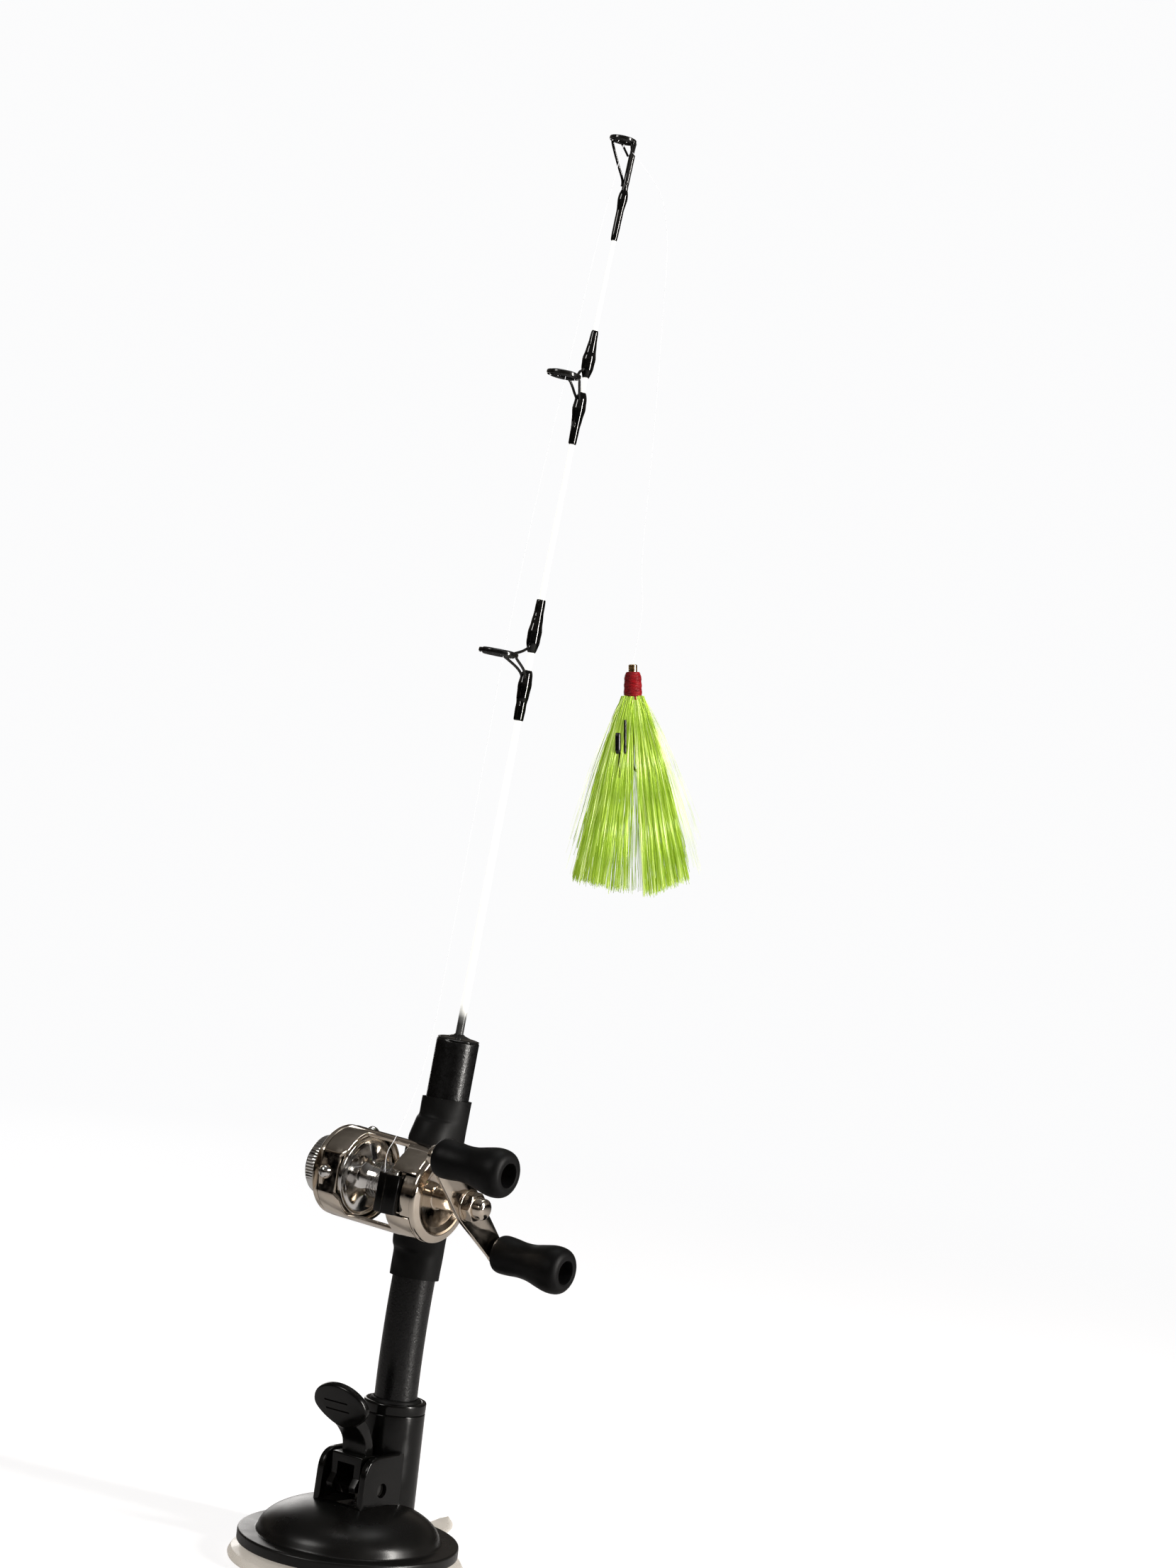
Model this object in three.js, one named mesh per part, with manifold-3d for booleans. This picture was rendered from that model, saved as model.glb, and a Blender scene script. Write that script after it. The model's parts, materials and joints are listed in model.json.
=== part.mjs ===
// An ice fishing rod and reel standing in a suction-cup holder, with a hair jig hanging from its tip.
// Millimetres, +Z up. The origin is the centre of the suction pad's underside. The holder's lever and the
// reel face -Y, and the reel's crank is on +X.

import * as THREE from 'three';
import { mergeVertices } from 'three/addons/utils/BufferGeometryUtils.js';
import Module from 'manifold-3d';

const wasm = await Module();
wasm.setup();

// ---------------------------------------------------------------- driving dimensions

const FIT = 0.08; // radial clearance of pins, bushes and other running fits
const SEAT = 0.3; // gap between pieces that rest on each other on the leaning rod

const PAD = { radius: 34.4, top: 4.4 };
const TAB = { halfWidth: 4.6, end: 45, rise: 7.4, turn: 2 };
const FLANGE = { radius: 32.2, bottom: 4.7, top: 8 };
const DOME = { radius: 26.7, height: 10.8, wall: 2 };
const CHEEK = { inner: 6.8, outer: 9, front: -7.2, back: 10.4, top: 32.5 };
const SOCKET = { y: 15.1, radius: 9.15, bore: 6.8, floor: 29, top: 42.7 };
const COLLAR = { bottom: 42.8, top: 46 };
const PIVOT = { y: 1.6, z: 22.6, radius: 1.2 };
const LINK = { offset: 3.4, droop: THREE.MathUtils.degToRad(30), radius: 1 };
const YOKE = { inner: 3.1, outer: 5.4, front: -4.9, bar: 29.5 };
const PADDLE = { halfWidth: 9.6, height: 13, thickness: 2.4, lean: THREE.MathUtils.degToRad(26) };

const HANDLE = { radius: 6.35, bore: 5.05, bottom: 29.3, bend: 34.6, top: 107.1 };
const LEAN = THREE.MathUtils.degToRad(4.09);
const LEAN_TOWARDS = THREE.MathUtils.degToRad(34.5); // from +X, turning towards +Y
const BLANK = { butt: 1.2, tip: 0.5, bottom: 92, top: 372, sag: 2.5 };

const LOW_GUIDE = { z: 221, standOff: 15.9, radius: 5.9, wire: 0.42 };
const MID_GUIDE = { z: 304.6, standOff: 10.8, radius: 5.1, wire: 0.4 };
const TIP_RING = { z: 376.2, standOff: 6, radius: 4, wire: 0.4 };

const REEL = { y: -21.5, z: 64.8 };
const DRUM = { radius: 13.4, bore: 12.2, left: -15.2, right: 18.6 };
const WINDOW = { left: -7.2, right: 10, top: 74, bottom: -58 }; // front opening, degrees up from the front
const SIDE_CAP = { end: -18.6 };
const TENSION = { radius: 8.6, left: -24.2, right: -19.4 };
const SPOOL = { flange: 11.6, left: -6.9, right: 9.6, arbor: 4.7, thickness: 0.9 };
const COVER = { end: 20.9, rim: 9.5, dish: 18.7, boss: 3.2, bossEnd: 28 };
const SHAFT = { radius: 2, spoolRadius: 1.25 };
const ARM = { x: 29.4, thickness: 1.3, half: 23, hub: 5.1, end: 3.3, rise: THREE.MathUtils.degToRad(37.3) };
const NUT = { acrossCorners: 4.3, hexTop: 2.8, dome: 6.2, domeRadius: 3.1 };
const KNOB = { length: 24, inner: 5.6, waist: 5.15, outer: 6.85, bore: 3.3 };

const LINE_RADIUS = 0.16;

// ---------------------------------------------------------------- solids

// A closed solid from any closed three.js geometry, its faces turned outwards.
function solidOf(geometry) {
  const bare = geometry.clone();
  bare.deleteAttribute('normal');
  bare.deleteAttribute('uv');
  const welded = mergeVertices(bare, 1e-4);
  const xyz = welded.attributes.position.array;
  const corners = welded.index.array;
  const a = new THREE.Vector3();
  const b = new THREE.Vector3();
  const c = new THREE.Vector3();
  const kept = [];
  let volume = 0;
  for (let i = 0; i < corners.length; i += 3) {
    const [p, q, r] = [corners[i], corners[i + 1], corners[i + 2]];
    if (p === q || q === r || r === p) continue;
    a.fromArray(xyz, 3 * p);
    b.fromArray(xyz, 3 * q);
    c.fromArray(xyz, 3 * r);
    volume += a.dot(b.cross(c));
    kept.push([p, q, r]);
  }
  const outward = volume < 0 ? kept.map(([p, q, r]) => [p, r, q]) : kept;
  const mesh = new wasm.Mesh({
    numProp: 3,
    vertProperties: Float32Array.from(xyz),
    triVerts: Uint32Array.from(outward.flat()),
  });
  return new wasm.Manifold(mesh);
}

function geometryOf(solid) {
  const mesh = solid.getMesh();
  const geometry = new THREE.BufferGeometry();
  geometry.setAttribute('position', new THREE.BufferAttribute(mesh.vertProperties, 3));
  geometry.setIndex(new THREE.BufferAttribute(mesh.triVerts, 1));
  geometry.computeVertexNormals();
  return geometry;
}

const union = (...solids) => solids.reduce((whole, next) => whole.add(next));
const cut = (solid, ...tools) => tools.reduce((left, tool) => left.subtract(tool), solid);

function turned(profile, segments, place) {
  const points = profile.map(([r, h]) => new THREE.Vector2(r, h));
  const geometry = new THREE.LatheGeometry(points, segments);
  geometry.applyMatrix4(place);
  return solidOf(geometry);
}

// Profiles are [radius, height] about +Z, or [radius, x] about +X.
const TO_Z = new THREE.Matrix4().makeRotationX(Math.PI / 2);
const TO_X = new THREE.Matrix4().makeRotationZ(-Math.PI / 2);
const aboutZ = (profile, segments = 16) => turned(profile, segments, TO_Z);
const aboutX = (profile, segments = 16) => turned(profile, segments, TO_X);

const discZ = (r, z0, z1, segments = 12) => aboutZ([[0, z0], [r, z0], [r, z1], [0, z1]], segments);
const discX = (r, x0, x1, segments = 12) => aboutX([[0, x0], [r, x0], [r, x1], [0, x1]], segments);
const ringZ = (r0, r1, z0, z1, segments = 12) => (
  aboutZ([[r0, z0], [r1, z0], [r1, z1], [r0, z1], [r0, z0]], segments));
const ringX = (r0, r1, x0, x1, segments = 12) => (
  aboutX([[r0, x0], [r1, x0], [r1, x1], [r0, x1], [r0, x0]], segments));

function block(x0, x1, y0, y1, z0, z1) {
  const geometry = new THREE.BoxGeometry(x1 - x0, y1 - y0, z1 - z0);
  geometry.translate((x0 + x1) / 2, (y0 + y1) / 2, (z0 + z1) / 2);
  return solidOf(geometry);
}

// A flat outline pushed along one axis: alongX takes (y, z) outlines, alongY (x, z) and alongZ (x, y).
function pushed(outline, from, to, axes) {
  const geometry = new THREE.ExtrudeGeometry(outline, {
    depth: to - from, bevelEnabled: false, curveSegments: 4,
  });
  geometry.translate(0, 0, from);
  geometry.applyMatrix4(new THREE.Matrix4().makeBasis(...axes));
  return solidOf(geometry);
}

const X = new THREE.Vector3(1, 0, 0);
const Y = new THREE.Vector3(0, 1, 0);
const Z = new THREE.Vector3(0, 0, 1);
const alongX = (outline, from, to) => pushed(outline, from, to, [Y, Z, X]);
const alongY = (outline, from, to) => pushed(outline, from, to, [X, Z, Y]);
const alongZ = (outline, from, to) => pushed(outline, from, to, [X, Y, Z]);

const polygon = (points) => new THREE.Shape(points.map(([u, v]) => new THREE.Vector2(u, v)));

// The points of a sector about the reel's axis, in (y, z): degrees are counted up from the front, -Y.
function sector(inner, outer, from, to) {
  const steps = Math.max(2, Math.ceil((to - from) / 12));
  const arc = (r, a, b) => Array.from({ length: steps + 1 }, (_, i) => {
    const angle = THREE.MathUtils.degToRad(a + ((b - a) * i) / steps);
    return [-r * Math.cos(angle), r * Math.sin(angle)];
  });
  return polygon([...arc(inner, from, to), ...arc(outer, to, from)]);
}

// A round wire through a few points, as an extrusion along the curve.
function wire(points, radius, { sides = 5, steps = 8, tension = 0.5 } = {}) {
  const path = new THREE.CatmullRomCurve3(
    points.map(([x, y, z]) => new THREE.Vector3(x, y, z)), false, 'catmullrom', tension);
  const rim = Array.from({ length: sides }, (_, i) => {
    const angle = (2 * Math.PI * i) / sides;
    return [radius * Math.cos(angle), radius * Math.sin(angle)];
  });
  const geometry = new THREE.ExtrudeGeometry(polygon(rim), { steps, extrudePath: path, bevelEnabled: false });
  return solidOf(geometry);
}

// A body skinned over rings of points, closed by a flat fan at each end.
function skinned(rings) {
  const sides = rings[0].length;
  const xyz = rings.flat().flatMap((p) => [p.x, p.y, p.z]);
  const middles = [rings[0], rings[rings.length - 1]].map((ring) => (
    ring.reduce((sum, p) => sum.add(p), new THREE.Vector3()).divideScalar(sides)));
  const [first, last] = [rings.length * sides, rings.length * sides + 1];
  middles.forEach((p) => xyz.push(p.x, p.y, p.z));
  const corners = [];
  for (let k = 0; k < sides; k += 1) {
    const next = (k + 1) % sides;
    for (let row = 0; row < rings.length - 1; row += 1) {
      const [low, high] = [row * sides, (row + 1) * sides];
      corners.push(low + k, low + next, high + next, low + k, high + next, high + k);
    }
    const top = (rings.length - 1) * sides;
    corners.push(first, next, k, last, top + k, top + next);
  }
  const geometry = new THREE.BufferGeometry();
  geometry.setAttribute('position', new THREE.Float32BufferAttribute(xyz, 3));
  geometry.setIndex(corners);
  return solidOf(geometry);
}

// A round body along Z whose stations are [z, radius, shift towards -Y].
function bulb(stations, segments = 8) {
  return skinned(stations.map(([z, radius, shift = 0]) => (
    Array.from({ length: segments }, (_, i) => {
      const angle = (2 * Math.PI * i) / segments;
      return new THREE.Vector3(radius * Math.cos(angle), radius * Math.sin(angle) - shift, z);
    }))));
}

// ---------------------------------------------------------------- finishes

const LOOKS = {
  satinBlack: [0x1b1b1a, 0.45, 0],
  glossBlack: [0x0b0b0b, 0.15, 0],
  rubberBlack: [0x161616, 0.8, 0],
  handleBlack: [0x1d1d1e, 0.6, 0],
  nickel: [0xb8aa97, 0.2, 1],
  chrome: [0xd6d3cf, 0.08, 1],
  steel: [0x9a9a98, 0.35, 1],
  softPad: [0xcfc9bd, 0.4, 0],
  whiteGlass: [0xf2f2ee, 0.3, 0],
  clearGlue: [0xa9a9a4, 0.1, 0],
  nylonLine: [0xd8d8d4, 0.2, 0],
  ceramic: [0x161616, 0.1, 0],
  brass: [0xb58a44, 0.25, 1],
  redThread: [0x8e1219, 0.6, 0],
  limeHair: [0x9fc63a, 0.5, 0],
};

function piece(group, name, solid, look) {
  const [color, roughness, metalness] = LOOKS[look];
  const material = new THREE.MeshStandardMaterial({ color, roughness, metalness });
  const mesh = new THREE.Mesh(geometryOf(solid), material);
  mesh.name = name;
  group.add(mesh);
}

// ---------------------------------------------------------------- suction base

// The dome's outer skin, as [radius, height] from its foot to its crown.
function domeSkin(radius, height, foot, steps = 4) {
  return Array.from({ length: steps + 1 }, (_, i) => {
    const angle = (Math.PI / 2) * (i / steps);
    return [radius * Math.cos(angle), foot + height * Math.sin(angle)];
  });
}

function buildPad(group) {
  const { radius, top } = PAD;
  const profile = [
    [0, 0], [radius - 0.4, 0], [radius, 0.7], [radius - 1, 2.6], [28, top], [6.5, top], [6.5, 2.4], [0, 2.4],
  ];
  const disc = aboutZ(profile, 28);
  const tabPlan = new THREE.Shape();
  const root = radius - 3;
  tabPlan.moveTo(-TAB.halfWidth, root);
  tabPlan.lineTo(-TAB.halfWidth, TAB.end - TAB.halfWidth);
  tabPlan.absarc(0, TAB.end - TAB.halfWidth, TAB.halfWidth, Math.PI, 0, true);
  tabPlan.lineTo(TAB.halfWidth, root);
  const tabSide = polygon([
    [root, 1.4], [36, 1.6], [TAB.end, TAB.rise - 1.1], [TAB.end, TAB.rise], [35.4, 3], [root, 2.8],
  ]);
  const tab = alongZ(tabPlan, 0, 12).intersect(alongX(tabSide, -TAB.halfWidth, TAB.halfWidth));
  piece(group, 'suction_pad', union(disc, tab.rotate([0, 0, TAB.turn])), 'softPad');
}

const SCREW = { x: 6.4, y: 14.4 };

function buildDome(group) {
  const inner = domeSkin(DOME.radius - DOME.wall, DOME.height - DOME.wall, FLANGE.top);
  const outer = domeSkin(DOME.radius, DOME.height, FLANGE.top);
  const shell = aboutZ([
    ...outer.slice().reverse(),
    [FLANGE.radius - 0.5, FLANGE.top], [FLANGE.radius, FLANGE.top - 0.5], [FLANGE.radius, FLANGE.bottom],
    [DOME.radius - DOME.wall, FLANGE.bottom],
    ...inner,
  ], 28);
  const slot = block(-CHEEK.inner, CHEEK.inner, -6.6, 8.4, 12, 24);
  const screwHoles = [-1, 1].map((side) => discZ(1.3, 8, 24, 12).translate([side * SCREW.x, SCREW.y, 0]));
  piece(group, 'base_dome', cut(shell, slot, ...screwHoles), 'satinBlack');
}

function buildHolder(group) {
  const { inner, outer, front, back, top } = CHEEK;
  const foot = FLANGE.top + 2;
  const side = new THREE.Shape();
  side.moveTo(back, foot);
  side.lineTo(front - 0.3, foot);
  side.lineTo(front, 20);
  side.bezierCurveTo(front + 0.2, top - 3, front + 3, top, front + 7.5, top);
  side.lineTo(back, top);
  const cheeks = alongX(side, -outer, outer);
  const post = discZ(SOCKET.radius, foot, SOCKET.top, 28).translate([0, SOCKET.y, 0]);
  const bore = discZ(SOCKET.bore, SOCKET.floor, SOCKET.top + 5, 24).translate([0, SOCKET.y, 0]);
  const domeCut = aboutZ([
    [0, 0], [DOME.radius + 5, 0], ...domeSkin(DOME.radius + 0.1, DOME.height + 0.1, FLANGE.top),
  ], 28);
  const postFront = SOCKET.y - SOCKET.radius;
  const well = union(
    block(-inner, inner, front - 1, postFront - 0.2, 0, top + 1),
    block(-inner, inner, front - 1, 8.4, 0, SOCKET.floor - 1.6));
  const pinHole = union(
    discX(PIVOT.radius + FIT, -outer - 1, outer + 1),
    discX(2.1, outer - 1.6, outer + 1), discX(2.1, -outer - 1, 1.6 - outer),
  ).translate([0, PIVOT.y, PIVOT.z]);
  const screwHoles = [-1, 1].map((hand) => discZ(1.3, 8, 20, 12).translate([hand * SCREW.x, SCREW.y, 0]));
  const body = cut(union(cheeks, post), bore, domeCut, well, pinHole, ...screwHoles);
  piece(group, 'holder_body', body, 'glossBlack');
}

function buildHolderFittings(group) {
  const { radius, bore, y } = SOCKET;
  const collar = aboutZ([
    [bore + 0.9, COLLAR.bottom], [radius, COLLAR.bottom], [radius, COLLAR.top - 0.5],
    [radius - 0.5, COLLAR.top], [bore + 0.9, COLLAR.top], [bore + 0.9, COLLAR.bottom],
  ], 28);
  piece(group, 'socket_collar', collar.translate([0, y, 0]), 'glossBlack');
  const seal = ringZ(HANDLE.radius + FIT, bore + 0.8, COLLAR.bottom, COLLAR.top + 0.8, 24);
  piece(group, 'socket_seal', seal.translate([0, y, 0]), 'rubberBlack');

  const pinEnd = CHEEK.outer - 1;
  const headRoot = CHEEK.outer - 1.5;
  const pin = union(
    discX(PIVOT.radius, -pinEnd, pinEnd), discX(1.9, headRoot, pinEnd), discX(1.9, -pinEnd, -headRoot));
  piece(group, 'pivot_pin', pin.translate([0, PIVOT.y, PIVOT.z]), 'steel');

  const screw = union(discZ(1.1, 9, 19.6, 8), discZ(2.4, 7.4, 9.1, 12));
  piece(group, 'holder_screw_left', screw.translate([-SCREW.x, SCREW.y, 0]), 'steel');
  piece(group, 'holder_screw_right', screw.translate([SCREW.x, SCREW.y, 0]), 'steel');
}

// ---------------------------------------------------------------- vacuum lever

// The link pin sits behind and below the pivot, so tipping the lever forwards lifts the pad's stem.
const LINK_PIN = {
  y: PIVOT.y + LINK.offset * Math.cos(LINK.droop),
  z: PIVOT.z - LINK.offset * Math.sin(LINK.droop),
};
const LINK_SWAY = LINK.offset * (1 - Math.cos(LINK.droop)); // how far the pin slides along the stem's eye

function buildStem(group) {
  const head = polygon([
    [-2.2, 13], [6.6, 15.5], [6.9, 22.2], [6, 22.9], [3.6, 22.9], [3.05, 22.3], [3.05, 17.6], [-2.2, 16.2],
  ]);
  const eye = discX(LINK.radius + FIT, -3, 3).translate([0, LINK_PIN.y, LINK_PIN.z]);
  const slot = union(eye, eye.translate([0, LINK_SWAY, 0]));
  const stem = union(discZ(6, 2.7, 3.9, 16), discZ(2.2, 3.8, 15), alongX(head, -1.6, 1.6));
  piece(group, 'pad_stem', cut(stem, slot), 'steel');
}

function buildLever(group) {
  const { inner, outer, front, bar } = YOKE;
  const cheek = new THREE.Shape();
  cheek.moveTo(front, CHEEK.top - 0.4);
  cheek.lineTo(front, 25.6);
  cheek.lineTo(front - 1.6, 23.2);
  cheek.lineTo(front - 1.3, 21.9);
  cheek.lineTo(front + 0.1, 21.6);
  cheek.lineTo(front + 2.2, 22.4);
  cheek.quadraticCurveTo(-1.6, 20, 0.4, 19.4);
  cheek.lineTo(4.2, 18.9);
  cheek.quadraticCurveTo(6.8, 19.6, 6.6, 21.4);
  cheek.lineTo(3.2, 25.6);
  cheek.lineTo(1.8, bar);
  cheek.lineTo(1.2, CHEEK.top - 0.4);
  const neck = new THREE.Shape();
  neck.moveTo(1.6, bar);
  neck.lineTo(1.4, 33.6);
  neck.quadraticCurveTo(0.8, 37, -3.4, 43.4);
  neck.lineTo(-7.2, 41.4);
  neck.quadraticCurveTo(-2.6, 37, -2.1, 33.6);
  neck.lineTo(-2.2, bar);

  const paddleOutline = new THREE.Shape();
  const { halfWidth, height, thickness, lean } = PADDLE;
  paddleOutline.moveTo(-4.2, -2.5);
  paddleOutline.bezierCurveTo(-4.6, 1.5, -halfWidth, 1.5, -halfWidth, height * 0.52);
  paddleOutline.bezierCurveTo(-halfWidth, height * 0.92, -5.2, height, 0, height);
  paddleOutline.bezierCurveTo(5.2, height, halfWidth, height * 0.92, halfWidth, height * 0.52);
  paddleOutline.bezierCurveTo(halfWidth, 1.5, 4.6, 1.5, 4.2, -2.5);
  const paddle = alongY(paddleOutline, 0, thickness)
    .rotate([THREE.MathUtils.radToDeg(lean), 0, 0]).translate([0, -8.1, 40.2]);

  const hollow = block(-inner, inner, front - 3, 8, 15, bar);
  const bores = union(
    discX(PIVOT.radius + FIT, -9, 9).translate([0, PIVOT.y, PIVOT.z]),
    discX(LINK.radius + FIT / 2, -9, 9).translate([0, LINK_PIN.y, LINK_PIN.z]));
  const lever = cut(union(cut(alongX(cheek, -outer, outer), hollow), alongX(neck, -4.2, 4.2), paddle), bores);
  piece(group, 'cam_lever', lever, 'glossBlack');
  const pin = discX(LINK.radius, -outer + 0.1, outer - 0.1).translate([0, LINK_PIN.y, LINK_PIN.z]);
  piece(group, 'link_pin', pin, 'steel');
}

// ---------------------------------------------------------------- handle and rod blank

const BEND_DIRECTION = new THREE.Vector3(Math.cos(LEAN_TOWARDS), Math.sin(LEAN_TOWARDS), 0);
const BEND_AXIS = new THREE.Vector3().crossVectors(Z, BEND_DIRECTION);
const BEND_START = new THREE.Vector3(0, SOCKET.y, COLLAR.top);

// The handle's centre line in the base's frame, at a length past the collar: an arc, then straight.
function handleStation(length) {
  const turn = LEAN * THREE.MathUtils.clamp(length / HANDLE.bend, 0, 1);
  const arcRadius = HANDLE.bend / LEAN;
  const upright = Math.min(length, 0);
  const beyond = Math.max(length - HANDLE.bend, 0);
  const centre = BEND_START.clone()
    .addScaledVector(BEND_DIRECTION, arcRadius * (1 - Math.cos(turn)) + beyond * Math.sin(LEAN))
    .addScaledVector(Z, arcRadius * Math.sin(turn) + beyond * Math.cos(LEAN) + upright);
  return { centre, quaternion: new THREE.Quaternion().setFromAxisAngle(BEND_AXIS, turn) };
}

function bentTube(radius, lengths, segments) {
  return skinned(lengths.map((length) => {
    const { centre, quaternion } = handleStation(length);
    return Array.from({ length: segments }, (_, i) => {
      const angle = (2 * Math.PI * i) / segments;
      const rim = new THREE.Vector3(radius * Math.cos(angle), radius * Math.sin(angle), 0);
      return rim.applyQuaternion(quaternion).add(centre);
    });
  }));
}

// Lengths along the handle start at the collar's top. The leaning frame's heights start there too.
const HANDLE_BEND_STEPS = [0, 1, 2, 3].map((i) => (HANDLE.bend * i) / 3);

function buildHandle(group) {
  const start = HANDLE.bottom - COLLAR.top;
  const outer = bentTube(HANDLE.radius, [start, ...HANDLE_BEND_STEPS, HANDLE.top], 24);
  const inner = bentTube(HANDLE.bore, [start - 1, ...HANDLE_BEND_STEPS, HANDLE.top + 1], 16);
  piece(group, 'handle_tube', cut(outer, inner), 'handleBlack');
}

function buildHandlePlug(group) {
  const cap = union(
    discZ(HANDLE.bore - 0.15, HANDLE.bottom - 0.2, HANDLE.bottom + 8),
    discZ(HANDLE.radius - 0.4, SOCKET.floor + 0.03, HANDLE.bottom - 0.1, 16));
  piece(group, 'handle_end_plug', cap.translate([0, SOCKET.y, 0]), 'rubberBlack');
}

const blankRadius = (z) => THREE.MathUtils.mapLinear(z, HANDLE.top, BLANK.top, BLANK.butt, BLANK.tip);
const blankSag = (z) => BLANK.sag * Math.max(0, (z - HANDLE.top) / (BLANK.top - HANDLE.top)) ** 3;

function blankCentre(z) {
  return new THREE.Vector3().addScaledVector(BEND_DIRECTION, blankSag(z)).setZ(z);
}

// A frame on the sagging blank: its origin on the blank's centre line and its Z along the blank.
function onBlank(rod, z) {
  const frame = new THREE.Group();
  const step = 1;
  const along = blankCentre(z + step).sub(blankCentre(z - step)).normalize();
  frame.position.copy(blankCentre(z));
  frame.quaternion.setFromUnitVectors(Z, along);
  rod.add(frame);
  return frame;
}

function buildBlank(rod) {
  const heights = [BLANK.bottom, HANDLE.top];
  const steps = 6;
  for (let i = 1; i <= steps; i += 1) heights.push(THREE.MathUtils.lerp(HANDLE.top, BLANK.top, i / steps));
  const sides = 8;
  const blank = skinned(heights.map((z) => Array.from({ length: sides }, (_, i) => {
    const angle = (2 * Math.PI * i) / sides;
    const r = blankRadius(z);
    return blankCentre(z).add(new THREE.Vector3(r * Math.cos(angle), r * Math.sin(angle), 0));
  })));
  piece(rod, 'rod_blank', blank, 'whiteGlass');

  const plug = ringZ(BLANK.butt + SEAT, HANDLE.bore - SEAT, BLANK.bottom, HANDLE.top - 0.4, 12);
  piece(rod, 'blank_bushing', plug, 'rubberBlack');
  const hole = BLANK.butt + SEAT / 2;
  const fillet = aboutZ([
    [hole, HANDLE.top + 0.15], [HANDLE.radius - 0.3, HANDLE.top + 0.15],
    [3.4, HANDLE.top + 1], [hole, HANDLE.top + 1.9], [hole, HANDLE.top + 0.15],
  ], 20);
  piece(rod, 'handle_top_glue', fillet, 'clearGlue');
}

// ---------------------------------------------------------------- line guides

function ringAt({ standOff, radius }, wallOut, wallIn, half) {
  return ringZ(radius - wallIn, radius - wallOut, -half, half, 20).translate([0, -standOff, 0]);
}

// The wires of a two-footed guide: one leg up and two legs down, each ending in a foot along the blank.
function guideLegs({ standOff, radius, wire: r }, z, swell = 0) {
  const rodRadius = blankRadius(z);
  const bed = rodRadius + 0.15 + r + 0.1;
  const spread = THREE.MathUtils.degToRad(28);
  const start = [radius * Math.sin(spread), -standOff + radius * Math.cos(spread)];
  const size = r + swell;
  const upLeg = wire([
    [0, -standOff + radius - 0.2, 0.3], [0, -bed - 2.2, 2.2], [0, -bed, 4.6], [0, -bed, 13.4],
  ], size, { sides: 4, steps: 6, tension: 0.2 });
  const downLegs = [-1, 1].map((side) => wire([
    [side * start[0], start[1], -0.3], [side * 0.9, -bed - 1.7, -3.2],
    [side * 0.32, -bed, -6.2], [side * 0.2, -bed, -13.8],
  ], size, { sides: 4, steps: 6, tension: 0.2 }));
  return union(upLeg, ...downLegs);
}

// An epoxy-covered thread wrap round the blank and one foot, from stations of [z, radius].
function wrapSolid(stations, guide, z) {
  const bulged = stations.map(([h, radius]) => [h, radius, Math.max(0, radius - 1) * 0.45]);
  const [first, last] = [stations[0][0], stations[stations.length - 1][0]];
  const hole = discZ(blankRadius(z) + 0.15, Math.min(first, last) - 1, Math.max(first, last) + 1, 12);
  return cut(bulb(bulged), hole, guideLegs(guide, z, 0.15));
}

function buildGuide(rod, name, guide, upper, lower) {
  const frame = onBlank(rod, guide.z);
  const band = ringAt(guide, 0, 0.75, 0.65);
  piece(frame, `${name}_guide_frame`, union(band, guideLegs(guide, guide.z)), 'glossBlack');
  const insert = aboutZ([
    [guide.radius - 2, -0.3], [guide.radius - 1.5, -0.9], [guide.radius - 0.85, -0.5],
    [guide.radius - 0.85, 0.5], [guide.radius - 1.5, 0.9], [guide.radius - 2, 0.3], [guide.radius - 2, -0.3],
  ], 20);
  piece(frame, `${name}_guide_ring`, insert.translate([0, -guide.standOff, 0]), 'ceramic');
  piece(frame, `${name}_guide_upper_wrap`, wrapSolid(upper, guide, guide.z), 'glossBlack');
  piece(frame, `${name}_guide_lower_wrap`, wrapSolid(lower, guide, guide.z), 'glossBlack');
}

function buildGuides(rod) {
  buildGuide(rod, 'low', LOW_GUIDE,
    [[2.9, 1.3], [5, 1.75], [7.6, 2.05], [11, 1.8], [15, 1.35], [17.9, 1.22]],
    [[-17.9, 1.4], [-14, 1.65], [-8, 2.05], [-5, 1.75], [-3.3, 1.3]]);
  buildGuide(rod, 'mid', MID_GUIDE,
    [[1.9, 1.15], [4, 1.7], [7, 1.95], [11, 1.45], [15.7, 1]],
    [[-18.5, 1.05], [-15, 1.25], [-11, 1.75], [-7.5, 1.95], [-5, 1.65], [-3.5, 1.15]]);
}

const TIP_TUBE = { bottom: -15.2, top: -2.4, radius: 0.92 };

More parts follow.
